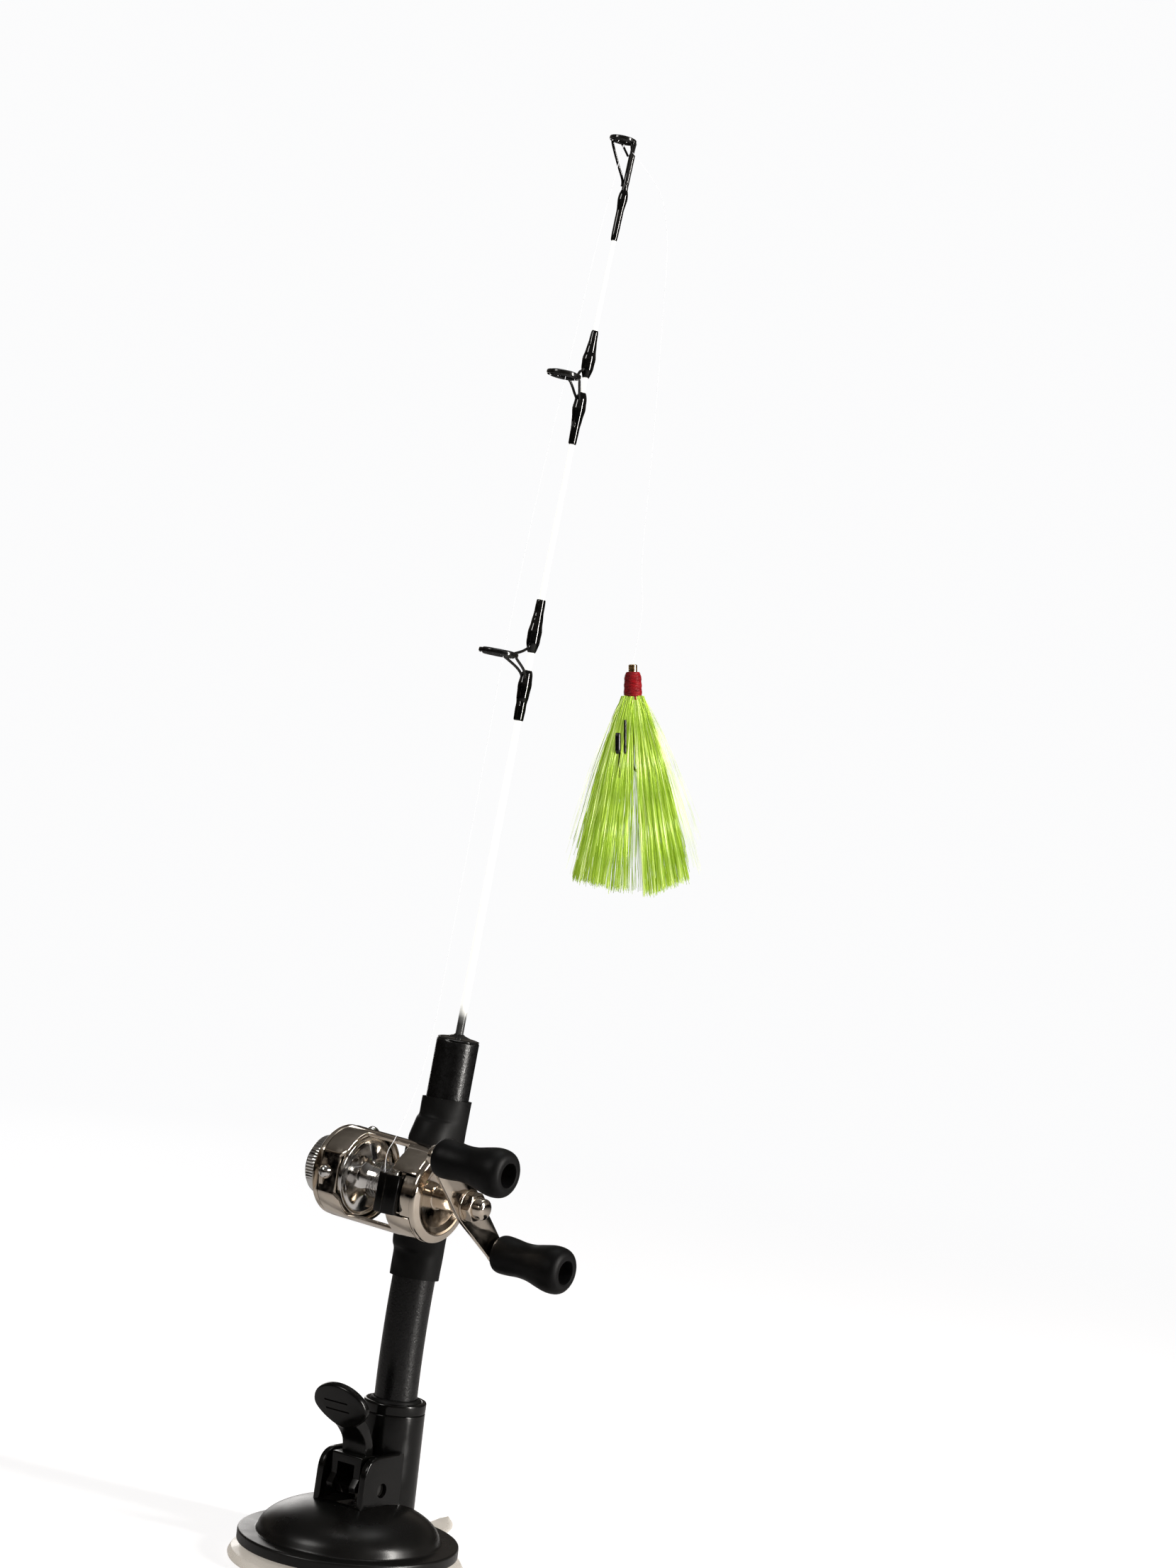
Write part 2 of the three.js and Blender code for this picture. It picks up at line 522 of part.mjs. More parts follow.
function buildTip(rod) {
  const { z, standOff, radius, wire: r } = TIP_RING;
  const frame = onBlank(rod, z);
  const band = ringAt(TIP_RING, 0, 0.6, 0.55);
  const { bottom, top } = TIP_TUBE;
  const tube = ringZ(blankRadius(z) + 0.12, TIP_TUBE.radius, bottom, top, 16);
  const closing = discZ(TIP_TUBE.radius, top - 0.4, top, 16);
  const stay = wire([[0, -0.35, top - 0.3], [0, -0.9, top + 1.2], [0, -standOff + radius - 0.25, -0.1]], r,
    { sides: 4, steps: 3 });
  const legs = [-1, 1].map((side) => wire([
    [side * (radius - 0.25), -standOff, -0.2], [side * 2.3, -3.6, -5.6],
    [side * 0.75, -0.85, -10.6], [side * 0.72, -0.75, -12],
  ], r, { sides: 4, steps: 5 }));
  piece(frame, 'tip_top_frame', union(band, tube, closing, stay, ...legs), 'glossBlack');
  const insert = aboutZ([
    [radius - 1.5, -0.2], [radius - 1.1, -0.7], [radius - 0.68, -0.4],
    [radius - 0.68, 0.4], [radius - 1.1, 0.7], [radius - 1.5, 0.2], [radius - 1.5, -0.2],
  ]);
  piece(frame, 'tip_ring', insert.translate([0, -standOff, 0]), 'ceramic');
  const hole = discZ(blankRadius(z - 30) + 0.14, -40, 0, 8);
  const socket = discZ(TIP_TUBE.radius + 0.12, bottom - 0.15, 0, 16);
  const wrap = bulb([
    [-28.4, 0.92], [-19.5, 0.95], [-17.4, 1.08], [-15.8, 1.3], [-14.4, 1.25], [-13.8, 1.12],
  ]);
  piece(frame, 'tip_wrap', cut(wrap, hole, socket), 'glossBlack');
}

// ---------------------------------------------------------------- reel seat

const FOOT = { half: 19.5, spread: THREE.MathUtils.degToRad(38), rise: 3.4, tip: 0.9, slope: 0.25 };

// How far the reel foot stands off the handle, at a distance along the rod from the reel's middle.
const footRise = (away) => THREE.MathUtils.clamp(
  FOOT.tip + (FOOT.half - away) * FOOT.slope, FOOT.tip, FOOT.rise);

// A saddle on the handle's front, its thickness following the foot's rise. It can be grown all round.
function saddle(growth) {
  const inner = HANDLE.radius + SEAT - growth;
  const spread = FOOT.spread + growth / HANDLE.radius;
  const half = FOOT.half + growth;
  const rows = 8;
  return skinned(Array.from({ length: rows + 1 }, (_, row) => {
    const away = half * ((2 * row) / rows - 1);
    const outer = inner + footRise(Math.abs(away)) + 2 * growth;
    const arc = (r, from, to) => Array.from({ length: 5 }, (_v, i) => {
      const angle = from + ((to - from) * i) / 4;
      return new THREE.Vector3(r * Math.sin(angle), -r * Math.cos(angle), REEL.z + away);
    });
    return [...arc(inner, -spread, spread), ...arc(outer, spread * 0.9, -spread * 0.9)];
  }));
}

// A shrunk sleeve over the handle, bulging over the foot, from rows of [z, bulge]. Only its hole is cut.
function sleeve(rows, thickness) {
  const sides = 20;
  const rings = rows.map(([z, bulge]) => Array.from({ length: sides }, (_, i) => {
    const angle = (2 * Math.PI * i) / sides;
    const forward = Math.max(0, -Math.sin(angle)) ** 2.2;
    const r = HANDLE.radius + SEAT / 2 + thickness + bulge * forward;
    return new THREE.Vector3(r * Math.cos(angle), r * Math.sin(angle), z);
  }));
  const [low, high] = [rows[0][0], rows[rows.length - 1][0]];
  const handle = discZ(HANDLE.radius + SEAT / 2, Math.min(low, high) - 1, Math.max(low, high) + 1, 24);
  return cut(skinned(rings), handle, saddle(0.15));
}

const RIVETS = [['low', -3.2], ['high', 3.2]];
const RIVET = { x: 1.6, radius: 0.8 };

function buildSeat(rod) {
  const holes = RIVETS.map(([, z]) => discZ(RIVET.radius + SEAT / 2, -9, 2, 10)
    .rotate([90, 0, 0]).translate([RIVET.x, -8, REEL.z + z]));
  const drum = discX(DRUM.radius + SEAT / 2, -20, 20, 32).translate([0, REEL.y, REEL.z]);
  piece(rod, 'reel_foot', cut(saddle(0), drum, ...holes), 'nickel');
  piece(rod, 'upper_sleeve', sleeve([
    [76.6, 3.9], [79.6, 2.9], [83, 1.6], [84.6, 0.3], [90, 0],
  ], 0.65), 'rubberBlack');
  piece(rod, 'lower_sleeve', sleeve([
    [36.2, 0.1], [43.8, 0.3], [46, 1.6], [50, 2.9], [53.2, 3.9],
  ], 0.7), 'rubberBlack');
}

// ---------------------------------------------------------------- reel

// The flat pad on the drum's front that carries a side screw.
const LUG = { reach: 12.75, half: 6.4, left: -16.6, right: -8.6 };
const SIDE_SCREW_X = -13.6;
const SIDE_SCREW_ANGLES = [0, 120, 240];

function screwLug() {
  const { reach, half, left, right } = LUG;
  const outline = polygon([
    [-reach, -half + 1], [-reach, half - 1], [-reach + 1.2, half + 0.5], [-10, half + 0.5],
    [-10, -half - 0.5], [-reach + 1.2, -half - 0.5],
  ]);
  return alongX(outline, left, right);
}

// Turns a solid built along +Z to point out of the drum, at degrees up from the front.
const radially = (solid, degrees) => solid.rotate([90, 0, 0]).rotate([-degrees, 0, 0]);

function buildFrame(reel) {
  const { radius, bore, left, right } = DRUM;
  const { left: w0, right: w1, top, bottom } = WINDOW;
  const shell = ringX(bore, radius, left, right, 32);
  const corner = 12;
  const openings = [
    alongX(sector(8, 16, bottom + corner, top - corner), w0, w1),
    alongX(sector(8, 16, bottom, top), w0 + 2.4, w1 - 2.4),
    alongX(sector(8, 16, top + 24, 156), w0, w1),
    alongX(sector(8, 16, 204, 360 + bottom - 24), w0, w1),
    block(LUG.left - 1, LUG.right, -20, -LUG.reach, -LUG.half, LUG.half),
  ];
  const keyNotch = alongX(sector(8, 16, -29, 25), w1 - 1, right + 1);
  const walls = [
    ringX(3.3, bore + 0.5, left, left + 1.4, 24), ringX(3.3, bore + 0.5, 13.2, 14.6, 24),
  ];
  const lug = cut(screwLug(), discX(bore, -20, 0, 32));
  const holes = [
    ...RIVETS.map(([, z]) => discZ(RIVET.radius + SEAT / 2, -16, 0, 10)
      .rotate([90, 0, 0]).translate([RIVET.x, 0, z])),
    ...SIDE_SCREW_ANGLES.map((degrees) => radially(discZ(0.8, 5, 20, 10), degrees)
      .translate([SIDE_SCREW_X, 0, 0])),
  ];
  piece(reel, 'reel_frame', cut(union(cut(shell, ...openings), ...walls, lug), keyNotch, ...holes), 'nickel');

  const seat = bore - 1.1;
  const rivet = union(discZ(RIVET.radius, seat - 0.5, 14.9, 10), discZ(1.4, seat - 0.6, seat, 10));
  RIVETS.forEach(([name, z]) => {
    const placed = rivet.rotate([-90, 0, 0]).translate([RIVET.x, 0, z]);
    piece(reel, `foot_rivet_${name}`, placed, 'steel');
  });
}

function buildSideCap(reel) {
  const { radius, bore, left } = DRUM;
  const { end } = SIDE_CAP;
  const cap = aboutX([
    [3.3, left - 1.6], [radius - 3, left - 1.6], [radius - 3, left - SEAT], [radius - 0.15, left - SEAT],
    [radius - 0.6, left - 1.6], [radius - 2, end + 0.8], [radius - 4.4, end], [3.3, end], [3.3, left - 1.6],
  ], 28);
  const lugNotch = block(LUG.left - SEAT, 0, -20, 3 - bore, -LUG.half - 0.8, LUG.half + 0.8);
  piece(reel, 'left_side_cap', cut(cap, lugNotch), 'nickel');

  const screw = union(
    aboutZ([[0, 0.2], [1.9, 0.2], [1.7, 1], [1, 1.4], [0, 1.4]], 14), discZ(0.65, -2.6, 0.3, 10));
  const cross = union(block(-1, 1, -0.18, 0.18, 0.9, 2), block(-0.18, 0.18, -1, 1, 0.9, 2));
  const seats = [['front', LUG.reach], ['top', radius], ['bottom', radius]];
  seats.forEach(([name, seat], i) => {
    const placed = radially(cut(screw, cross).translate([0, 0, seat]), SIDE_SCREW_ANGLES[i]);
    piece(reel, `side_screw_${name}`, placed.translate([SIDE_SCREW_X, 0, 0]), 'chrome');
  });
}

function buildTensionKnob(reel) {
  const { radius, left, right } = TENSION;
  const knob = aboutX([
    [0, left - 1.7], [5.6, left - 1.7], [6.2, left], [radius - 0.3, left], [radius, left + 0.5],
    [radius + 0.3, right], [2.9, right], [2.9, left + 1], [0, left + 1],
  ], 24);
  piece(reel, 'tension_knob', knob, 'chrome');
  const bush = ringX(SHAFT.spoolRadius + FIT, 3.15, SIDE_CAP.end + 0.3, DRUM.left + 1.2);
  piece(reel, 'left_bushing', bush, 'brass');
}

function buildSpool(reel) {
  const { flange, left, right, arbor, thickness } = SPOOL;
  const flangeRim = (x, out) => [
    [5, x + out * 0.7], [10.2, x + out * 1.1], [flange, x + out * 1.3], [flange, x + out * 0.5],
    [10.2, x - out * 0.1], [5.4, x - out * thickness],
  ];
  const spool = aboutX([
    [0, left - 0.9], [3, left - 0.9], ...flangeRim(left, -1), [arbor, left + 1.6],
    [arbor, right - 1.6], ...flangeRim(right, 1).reverse(), [3, right + 0.9], [0, right + 0.9],
  ], 24);
  const shaft = discX(SHAFT.spoolRadius, -20.8, 16.4);
  piece(reel, 'spool', union(spool, shaft), 'chrome');
  const wound = [
    [arbor + FIT, 0.4], [arbor + 1, 2.2], [arbor + 0.75, 3.6], [arbor + 1.1, 5.8], [arbor + FIT, 8.4],
    [arbor + FIT, 0.4],
  ];
  piece(reel, 'line_coils', aboutX(wound, 24).translate([-3, 0, 0]), 'nylonLine');
}

function buildCover(reel) {
  const { radius } = DRUM;
  const { end, rim, dish, boss, bossEnd } = COVER;
  const start = DRUM.right + SEAT;
  const cup = aboutX([
    [SHAFT.radius + 0.9, start - 1.4], [11.4, start - 1.4], [11.4, start], [radius - 0.1, start],
    [radius - 0.6, end - 1.1], [rim + 1.1, end + 0.1], [rim, end], [rim - 0.8, dish + 0.6],
    [boss + 1.4, dish], [boss, dish + 0.5], [boss, bossEnd],
    [SHAFT.radius + 0.9, bossEnd], [SHAFT.radius + 0.9, start - 1.4],
  ], 28);
  const tongue = alongX(sector(11.2, radius - 0.15, -28, 24), 15.4, start + 0.2);
  piece(reel, 'gear_cover', union(cup, tongue), 'nickel');
  const bush = ringX(SHAFT.radius + FIT, SHAFT.radius + 0.8, start - 1.2, bossEnd - 0.4);
  piece(reel, 'crank_bushing', bush, 'brass');
}

// The free-spool key on the drum's front: a thin ridged block with a post that reaches into the drum.
function buildThumbKey(reel) {
  const plan = polygon([
    [7.6, -13.05], [7.6, -14.3], [11.2, -15.3], [14.8, -14.2], [15, -13.8], [15, -13.05],
  ]);
  const key = alongZ(plan, -6.2, 4.8);
  const post = block(11.3, 12.7, -13.2, -9.2, -2.6, 1.4);
  piece(reel, 'thumb_key', union(key, post), 'glossBlack');
}

function buildClutch(reel) {
  piece(reel, 'clutch_plate', ringX(SHAFT.spoolRadius + FIT, 3, 14.9, 16.2), 'brass');
}

// ---------------------------------------------------------------- crank

const ARM_END = { y: -ARM.half * Math.cos(ARM.rise), z: ARM.half * Math.sin(ARM.rise) };

function buildCrank(reel) {
  const outline = new THREE.Shape();
  const { half, hub, end } = ARM;
  outline.absarc(half, 0, end, -Math.PI / 2, Math.PI / 2, false);
  outline.quadraticCurveTo(half * 0.35, hub * 0.95, 0, hub);
  outline.quadraticCurveTo(-half * 0.35, hub * 0.95, -half, end);
  outline.absarc(-half, 0, end, Math.PI / 2, 1.5 * Math.PI, false);
  outline.quadraticCurveTo(-half * 0.35, -hub * 0.95, 0, -hub);
  outline.quadraticCurveTo(half * 0.35, -hub * 0.95, half, -end);
  const flat = alongX(outline, ARM.x - ARM.thickness / 2, ARM.x + ARM.thickness / 2);
  const rise = 180 - THREE.MathUtils.radToDeg(ARM.rise);
  const holes = [1, -1].map((side) => discX(1.5 + FIT, 20, 40).translate([0, side * half, 0]));
  const arm = cut(flat, ...holes, discX(1.75, 20, 40)).rotate([rise, 0, 0]);
  piece(reel, 'crank_arm', arm, 'nickel');

  const shaft = union(
    discX(SHAFT.radius, 16.9, ARM.x - ARM.thickness / 2 - 0.2), discX(1.6, ARM.x - 2, 34.4),
    ringX(1.4, 3, 16.5, 17.1));
  piece(reel, 'crank_shaft', shaft, 'steel');
  const face = ARM.x + ARM.thickness / 2;
  const washer = ringX(1.8, 4.6, face + 0.05, face + 0.45, 16);
  piece(reel, 'crank_washer', washer, 'nickel');

  const nutFace = face + 0.5;
  const { acrossCorners, hexTop, dome: domeTop, domeRadius } = NUT;
  const hexagon = aboutX([
    [0, nutFace], [acrossCorners, nutFace], [acrossCorners, nutFace + hexTop], [0, nutFace + hexTop],
  ], 6).rotate([12, 0, 0]);
  const bevelled = hexagon.intersect(aboutX([
    [0, nutFace - 1], [4.5, nutFace - 1], [4.5, nutFace + hexTop - 0.6], [3.6, nutFace + hexTop],
    [0, nutFace + hexTop],
  ], 18));
  const dome = aboutX([
    [0, nutFace + 2], [domeRadius, nutFace + 2], [domeRadius, nutFace + hexTop + 0.5],
    [domeRadius - 0.5, nutFace + domeTop - 1], [domeRadius - 1.6, nutFace + domeTop - 0.2],
    [0, nutFace + domeTop],
  ], 14);
  const nut = cut(union(bevelled, dome), discX(1.7, nutFace - 1, 34.6));
  piece(reel, 'acorn_nut', nut, 'chrome');
}

// A waisted grip that spins on a shouldered rivet through the crank arm's end.
function buildKnob(reel, letter, side) {
  const { y, z } = ARM_END;
  const place = (solid) => solid.translate([0, side * y, side * z]);
  const face = ARM.x + ARM.thickness / 2;
  const start = face + 0.5;
  const { length, inner, waist, outer, bore } = KNOB;
  const knob = aboutX([
    [1.9, start], [inner - 1.2, start], [inner, start + 1.6], [waist, start + 9], [outer - 0.5, start + 17],
    [outer, start + 20], [outer - 0.7, start + 22.6], [bore, start + length], [bore, start + 16],
    [1.9, start + 16], [1.9, start],
  ], 16);
  piece(reel, `crank_knob_${letter}`, place(knob), 'rubberBlack');
  const back = ARM.x - ARM.thickness / 2;
  const rivet = union(
    aboutX([[0, back - 1.2], [2.9, back - 0.7], [2.9, back - 0.05], [1.5, back - 0.05], [1.5, face],
      [1.8, start - 0.3], [1.8, start + 16.2], [0, start + 16.2]], 12),
    discX(2.7, start + 16.1, start + 17));
  piece(reel, `knob_rivet_${letter}`, place(rivet), 'nickel');
}

// ---------------------------------------------------------------- line and jig

function buildLine(rod) {
  const r = LINE_RADIUS;
  const tipCentre = blankCentre(TIP_RING.z).add(new THREE.Vector3(0, -TIP_RING.standOff + 0.8, 0));
  const run = wire([
    [3.3, REEL.y - 6.2, REEL.z + 3], [3.3, -28, 74.6], [3.1, -25.4, 78.4], [2.3, -20, 88.7],
    [1.5, -16.4, 98.4], [0.9, -14.2, 110], [0.4, -13.1, 125], [0.1, -12.9, 200], [0.1, -13, 221],
    [0.5, -11.6, 270], [0.9, -9.2, 304.6], [1.5, -6.9, 345], [tipCentre.x, tipCentre.y, tipCentre.z - 1],
  ], r, { sides: 3, steps: 36, tension: 0.35 });
  piece(rod, 'fishing_line', run, 'nylonLine');
}

// The tip ring's middle, in the base's frame.
function tipPoint(lean, rod) {
  rod.updateWorldMatrix(true, false);
  const local = blankCentre(TIP_RING.z).add(new THREE.Vector3(0, -TIP_RING.standOff, 0));
  return local.applyMatrix4(rod.matrixWorld);
}

const JIG = { across: 20.2, drop: 152.7, tilt: THREE.MathUtils.degToRad(6.5) };

function buildJig(group, tip) {
  // Points are across (towards the lean) and down from the tip ring.
  const place = ([across, down]) => {
    const point = tip.clone().addScaledVector(BEND_DIRECTION, across);
    return [point.x, point.y, point.z - down];
  };
  const leader = wire([
    [0, 1.2], [3.4, 2.2], [12.4, 13.4], [15.4, 23.2], [16.6, 31.5], [17.4, 48], [18.8, 88], [19.4, 121],
    [21.1, 135.2], [20.9, 143.6], [JIG.across, JIG.drop],
  ].map(place), LINE_RADIUS, { sides: 3, steps: 24 });
  piece(group, 'leader_line', leader, 'nylonLine');

  const jig = new THREE.Group();
  jig.position.fromArray(place([JIG.across, JIG.drop]));
  jig.quaternion.setFromAxisAngle(BEND_AXIS, -JIG.tilt);
  group.add(jig);
  piece(jig, 'jig_tube', ringZ(0.75, 1.25, -4.4, -0.2, 12), 'brass');
  const thread = aboutZ([
    [1.4, -9.4], [2.5, -9.4], [2.7, -8], [2.5, -5.2], [2.55, -3.6], [2, -2.4], [1.4, -2.3], [1.4, -9.4],
  ], 12);
  piece(jig, 'jig_thread', thread, 'redThread');
  const skirt = aboutZ([
    [1.5, -9.7], [2.4, -9.7], [6.4, -24], [12, -42], [16.6, -62], [15.4, -64], [10, -64], [5.8, -27],
    [1.5, -16], [1.5, -9.7],
  ], 20);
  piece(jig, 'jig_skirt', skirt, 'limeHair');
  const hook = wire([
    [0, 0, -4.7], [0, 0, -20], [0, 0, -27], [0.3, 0, -30.5],
    [2.6, 0, -31.6], [4.4, 0, -29.6], [4.4, 0, -26.4],
  ], 0.4, { sides: 4, steps: 14 });
  piece(jig, 'jig_hook', hook, 'steel');
}

// ---------------------------------------------------------------- assembly

const part = new THREE.Group();
buildPad(part);
buildDome(part);
buildHolder(part);
buildHolderFittings(part);
buildStem(part);
buildLever(part);
buildHandle(part);
buildHandlePlug(part);

// Everything above the handle's bend leans with it. Heights on the rod are counted from the collar's top.
const lean = new THREE.Group();
lean.position.copy(BEND_START).addScaledVector(Z, (HANDLE.bend / LEAN) * Math.tan(LEAN / 2));
lean.quaternion.setFromAxisAngle(BEND_AXIS, LEAN);
part.add(lean);
const rod = new THREE.Group();
rod.position.z = -(HANDLE.bend / LEAN) * Math.tan(LEAN / 2);
lean.add(rod);
buildBlank(rod);
buildGuides(rod);
buildTip(rod);
buildSeat(rod);
buildLine(rod);

const reel = new THREE.Group();
reel.position.set(0, REEL.y, REEL.z);
rod.add(reel);
buildFrame(reel);
buildSideCap(reel);
buildTensionKnob(reel);
buildSpool(reel);
buildCover(reel);
buildThumbKey(reel);
buildClutch(reel);
buildCrank(reel);
buildKnob(reel, 'a', 1);
buildKnob(reel, 'b', -1);

buildJig(part, tipPoint(lean, rod));

export default part;
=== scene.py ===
"""An ice fishing rod and reel in a suction-cup holder, with a hair jig hanging from its tip.

Every piece is built in millimetres, in the frame of the thing it belongs to: the holder, the leaning rod, the
reel, or the hanging line. That frame's matrix then places it in metres.
"""

import json
import math
import random

import bmesh
import bpy
from mathutils import Matrix, Vector


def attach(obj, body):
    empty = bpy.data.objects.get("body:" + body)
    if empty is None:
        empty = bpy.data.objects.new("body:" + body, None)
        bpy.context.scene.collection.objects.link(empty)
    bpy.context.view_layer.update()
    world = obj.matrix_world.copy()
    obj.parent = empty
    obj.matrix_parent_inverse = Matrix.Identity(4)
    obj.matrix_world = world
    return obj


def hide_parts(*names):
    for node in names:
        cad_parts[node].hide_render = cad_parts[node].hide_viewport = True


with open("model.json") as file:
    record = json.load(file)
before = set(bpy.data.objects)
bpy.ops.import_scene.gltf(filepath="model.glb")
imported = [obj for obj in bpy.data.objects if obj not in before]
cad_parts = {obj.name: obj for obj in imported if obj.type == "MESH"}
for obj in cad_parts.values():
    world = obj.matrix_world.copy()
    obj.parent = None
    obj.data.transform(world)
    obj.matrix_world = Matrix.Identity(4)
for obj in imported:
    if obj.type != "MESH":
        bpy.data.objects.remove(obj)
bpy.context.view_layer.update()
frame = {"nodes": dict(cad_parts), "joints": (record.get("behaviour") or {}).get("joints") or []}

# ---------------------------------------------------------------- frames

MM = 0.001
JOINTS = {joint["name"]: joint for joint in frame["joints"]}
REEL_FORWARD = 21.5  # the reel's axis is this far in front of the rod's, along -Y
REEL_UP = 64.8  # and this far up it, above the origin of the rod's frame

# ALONG_X turns a body built about Z to X: an outline drawn in (x, y) comes to lie in (y, z).
# ALONG_Y swaps Y and Z: an outline comes to lie in (x, z).
ALONG_X = Matrix(((0, 0, 1, 0), (1, 0, 0, 0), (0, 1, 0, 0), (0, 0, 0, 1)))
ALONG_Y = Matrix(((1, 0, 0, 0), (0, 0, 1, 0), (0, 1, 0, 0), (0, 0, 0, 1)))


def axes_matrix(x, y, z, origin):
    """The matrix from a frame in millimetres to the shared frame in metres."""
    rows = [[x[i] * MM, y[i] * MM, z[i] * MM, origin[i]] for i in range(3)]
    return Matrix(rows + [[0, 0, 0, 1]])


reel_x = Vector(JOINTS["crank_spin"]["axis"])
reel_y = Vector(JOINTS["thumb_press"]["axis"])
reel_z = reel_x.cross(reel_y)
BASE = Matrix.Scale(MM, 4)
REEL = axes_matrix(reel_x, reel_y, reel_z, Vector(JOINTS["spool_spin"]["pos_m"]))
ROD = REEL @ Matrix.Translation((0, REEL_FORWARD, -REEL_UP))
TIP_POINT = Vector(JOINTS["line_swing"]["pos_m"])
JIG_POINT = Vector(JOINTS["jig_swing"]["pos_m"])

LEAN_ANGLE = reel_z.angle(Vector((0, 0, 1)))
LEAN_WAY = Vector((reel_z.x, reel_z.y, 0)).normalized()
LEAN_SIDE = Vector((0, 0, 1)).cross(LEAN_WAY)


def shift(x=0.0, y=0.0, z=0.0):
    return Matrix.Translation((x, y, z))


# ---------------------------------------------------------------- outlines

def rounded(points, steps=4, closed=False):
    """A polyline whose points may carry a third value, the radius of the arc that rounds them."""
    result = []
    count = len(points)
    for i, point in enumerate(points):
        here = Vector(point[:2])
        radius = point[2] if len(point) > 2 else 0
        is_end = not closed and i in (0, count - 1)
        if is_end or not radius:
            result.append(here)
            continue
        before = Vector(points[i - 1][:2]) - here
        after = Vector(points[(i + 1) % count][:2]) - here
        half = before.angle(after) / 2
        reach = min(radius / math.tan(half), before.length * 0.49, after.length * 0.49)
        start = here + before.normalized() * reach
        end = here + after.normalized() * reach
        for k in range(steps + 1):
            t = k / steps
            result.append(start.lerp(here, t).lerp(here.lerp(end, t), t))
    return result


def smooth_profile(points, steps=6):
    """A smooth curve through every point, for flowing outlines."""
    ends = [points[0]] + list(points) + [points[-1]]
    vectors = [Vector(p) for p in ends]
    result = []
    for a, b, c, d in zip(vectors, vectors[1:], vectors[2:], vectors[3:]):
        for k in range(steps):
            t = k / steps
            result.append(0.5 * (2 * b + (c - a) * t + (2 * a - 5 * b + 4 * c - d) * t * t
                                 + (3 * b - a - 3 * c + d) * t ** 3))
    result.append(vectors[-1])
    return result


def turns(count):
    """Equal angles round a circle, in radians."""
    return [2 * math.pi * k / count for k in range(count)]


def arc(centre, radius, start, end, steps):
    """Points on an arc, in degrees."""
    angles = [math.radians(start + (end - start) * i / steps) for i in range(steps + 1)]
    return [Vector((centre[0] + radius * math.cos(a), centre[1] + radius * math.sin(a))) for a in angles]


# ---------------------------------------------------------------- meshes

def new_object(name, verts, faces):
    mesh = bpy.data.meshes.new(name)
    mesh.from_pydata([tuple(v) for v in verts], [], faces)
    work = bmesh.new()
    work.from_mesh(mesh)
    bmesh.ops.recalc_face_normals(work, faces=work.faces)
    work.to_mesh(mesh)
    work.free()
    piece = bpy.data.objects.new(name, mesh)
    bpy.context.scene.collection.objects.link(piece)
    return piece


def lathe(name, profile, segments=72, closed=False, radius_at=None):
    """A turned body about Z from (radius, height) points. radius_at(angle, radius, height) can texture it."""
    verts = []
    rows = []
    for r, h in (p[:2] for p in profile):
        if r < 1e-6:
            rows.append([len(verts)])
            verts.append((0, 0, h))
            continue
        rows.append(list(range(len(verts), len(verts) + segments)))
        for i in range(segments):
            angle = 2 * math.pi * i / segments
            out = radius_at(angle, r, h) if radius_at else r
            verts.append((out * math.cos(angle), out * math.sin(angle), h))
    faces = []
    pairs = list(zip(rows, rows[1:]))
    if closed:
        pairs.append((rows[-1], rows[0]))
    for low, high in pairs:
        for i in range(segments):
            k = (i + 1) % segments
            ring = [low[i % len(low)], low[k % len(low)], high[k % len(high)], high[i % len(high)]]
            corners = list(dict.fromkeys(ring))
            if len(corners) > 2:
                faces.append(corners)
    return new_object(name, verts, faces)


def skin(name, rings, capped=True):
    """A body over rings of points, each ring closed."""
    sides = len(rings[0])
    verts = [p for ring in rings for p in ring]
    faces = []
    for row in range(len(rings) - 1):
        for i in range(sides):
            k = (i + 1) % sides
            faces.append([row * sides + i, row * sides + k, (row + 1) * sides + k, (row + 1) * sides + i])
    if capped:
        faces.append(list(range(sides)))
        faces.append(list(range((len(rings) - 1) * sides, len(rings) * sides)))
    else:
        last = (len(rings) - 1) * sides
        faces += [[last + i, last + (i + 1) % sides, (i + 1) % sides, i] for i in range(sides)]
    return new_object(name, verts, faces)


def prism(name, outline, low, high, bevel=0.3, steps=3):
    """An outline in XY pushed along Z, its two faces' edges rounded."""
    count = len(outline)
    verts = [(p[0], p[1], low) for p in outline] + [(p[0], p[1], high) for p in outline]
    faces = [list(range(count)), list(range(count, 2 * count))]
    for i in range(count):
        k = (i + 1) % count
        faces.append([i, k, count + k, count + i])
    piece = new_object(name, verts, faces)
    if bevel:
        work = bmesh.new()
        work.from_mesh(piece.data)
        rims = [e for e in work.edges if abs(e.verts[0].co.z - e.verts[1].co.z) < 1e-6]
        bmesh.ops.bevel(work, geom=rims, offset=bevel, segments=steps, profile=0.5, affect="EDGES",
                        clamp_overlap=True)
        work.to_mesh(piece.data)
        work.free()
    return piece


def tube(name, points, radius, sides=12, steps=8):
    """A round wire on a smooth curve. Its radius may be a function of the share of its length."""
    path = smooth_profile([tuple(p) for p in points], steps)
    rings = []
    side = None
    for i, here in enumerate(path):
        along = (path[min(i + 1, len(path) - 1)] - path[max(i - 1, 0)]).normalized()
        if side is None:
            side = along.orthogonal().normalized()
        side = (side - along * side.dot(along)).normalized()
        other = along.cross(side)
        r = radius(i / (len(path) - 1)) if callable(radius) else radius
        rings.append([here + (side * math.cos(a) + other * math.sin(a)) * r for a in turns(sides)])
    return skin(name, rings)


def turn(piece, matrix):
    piece.data.transform(matrix)
    if matrix.determinant() < 0:
        piece.data.flip_normals()
    return piece


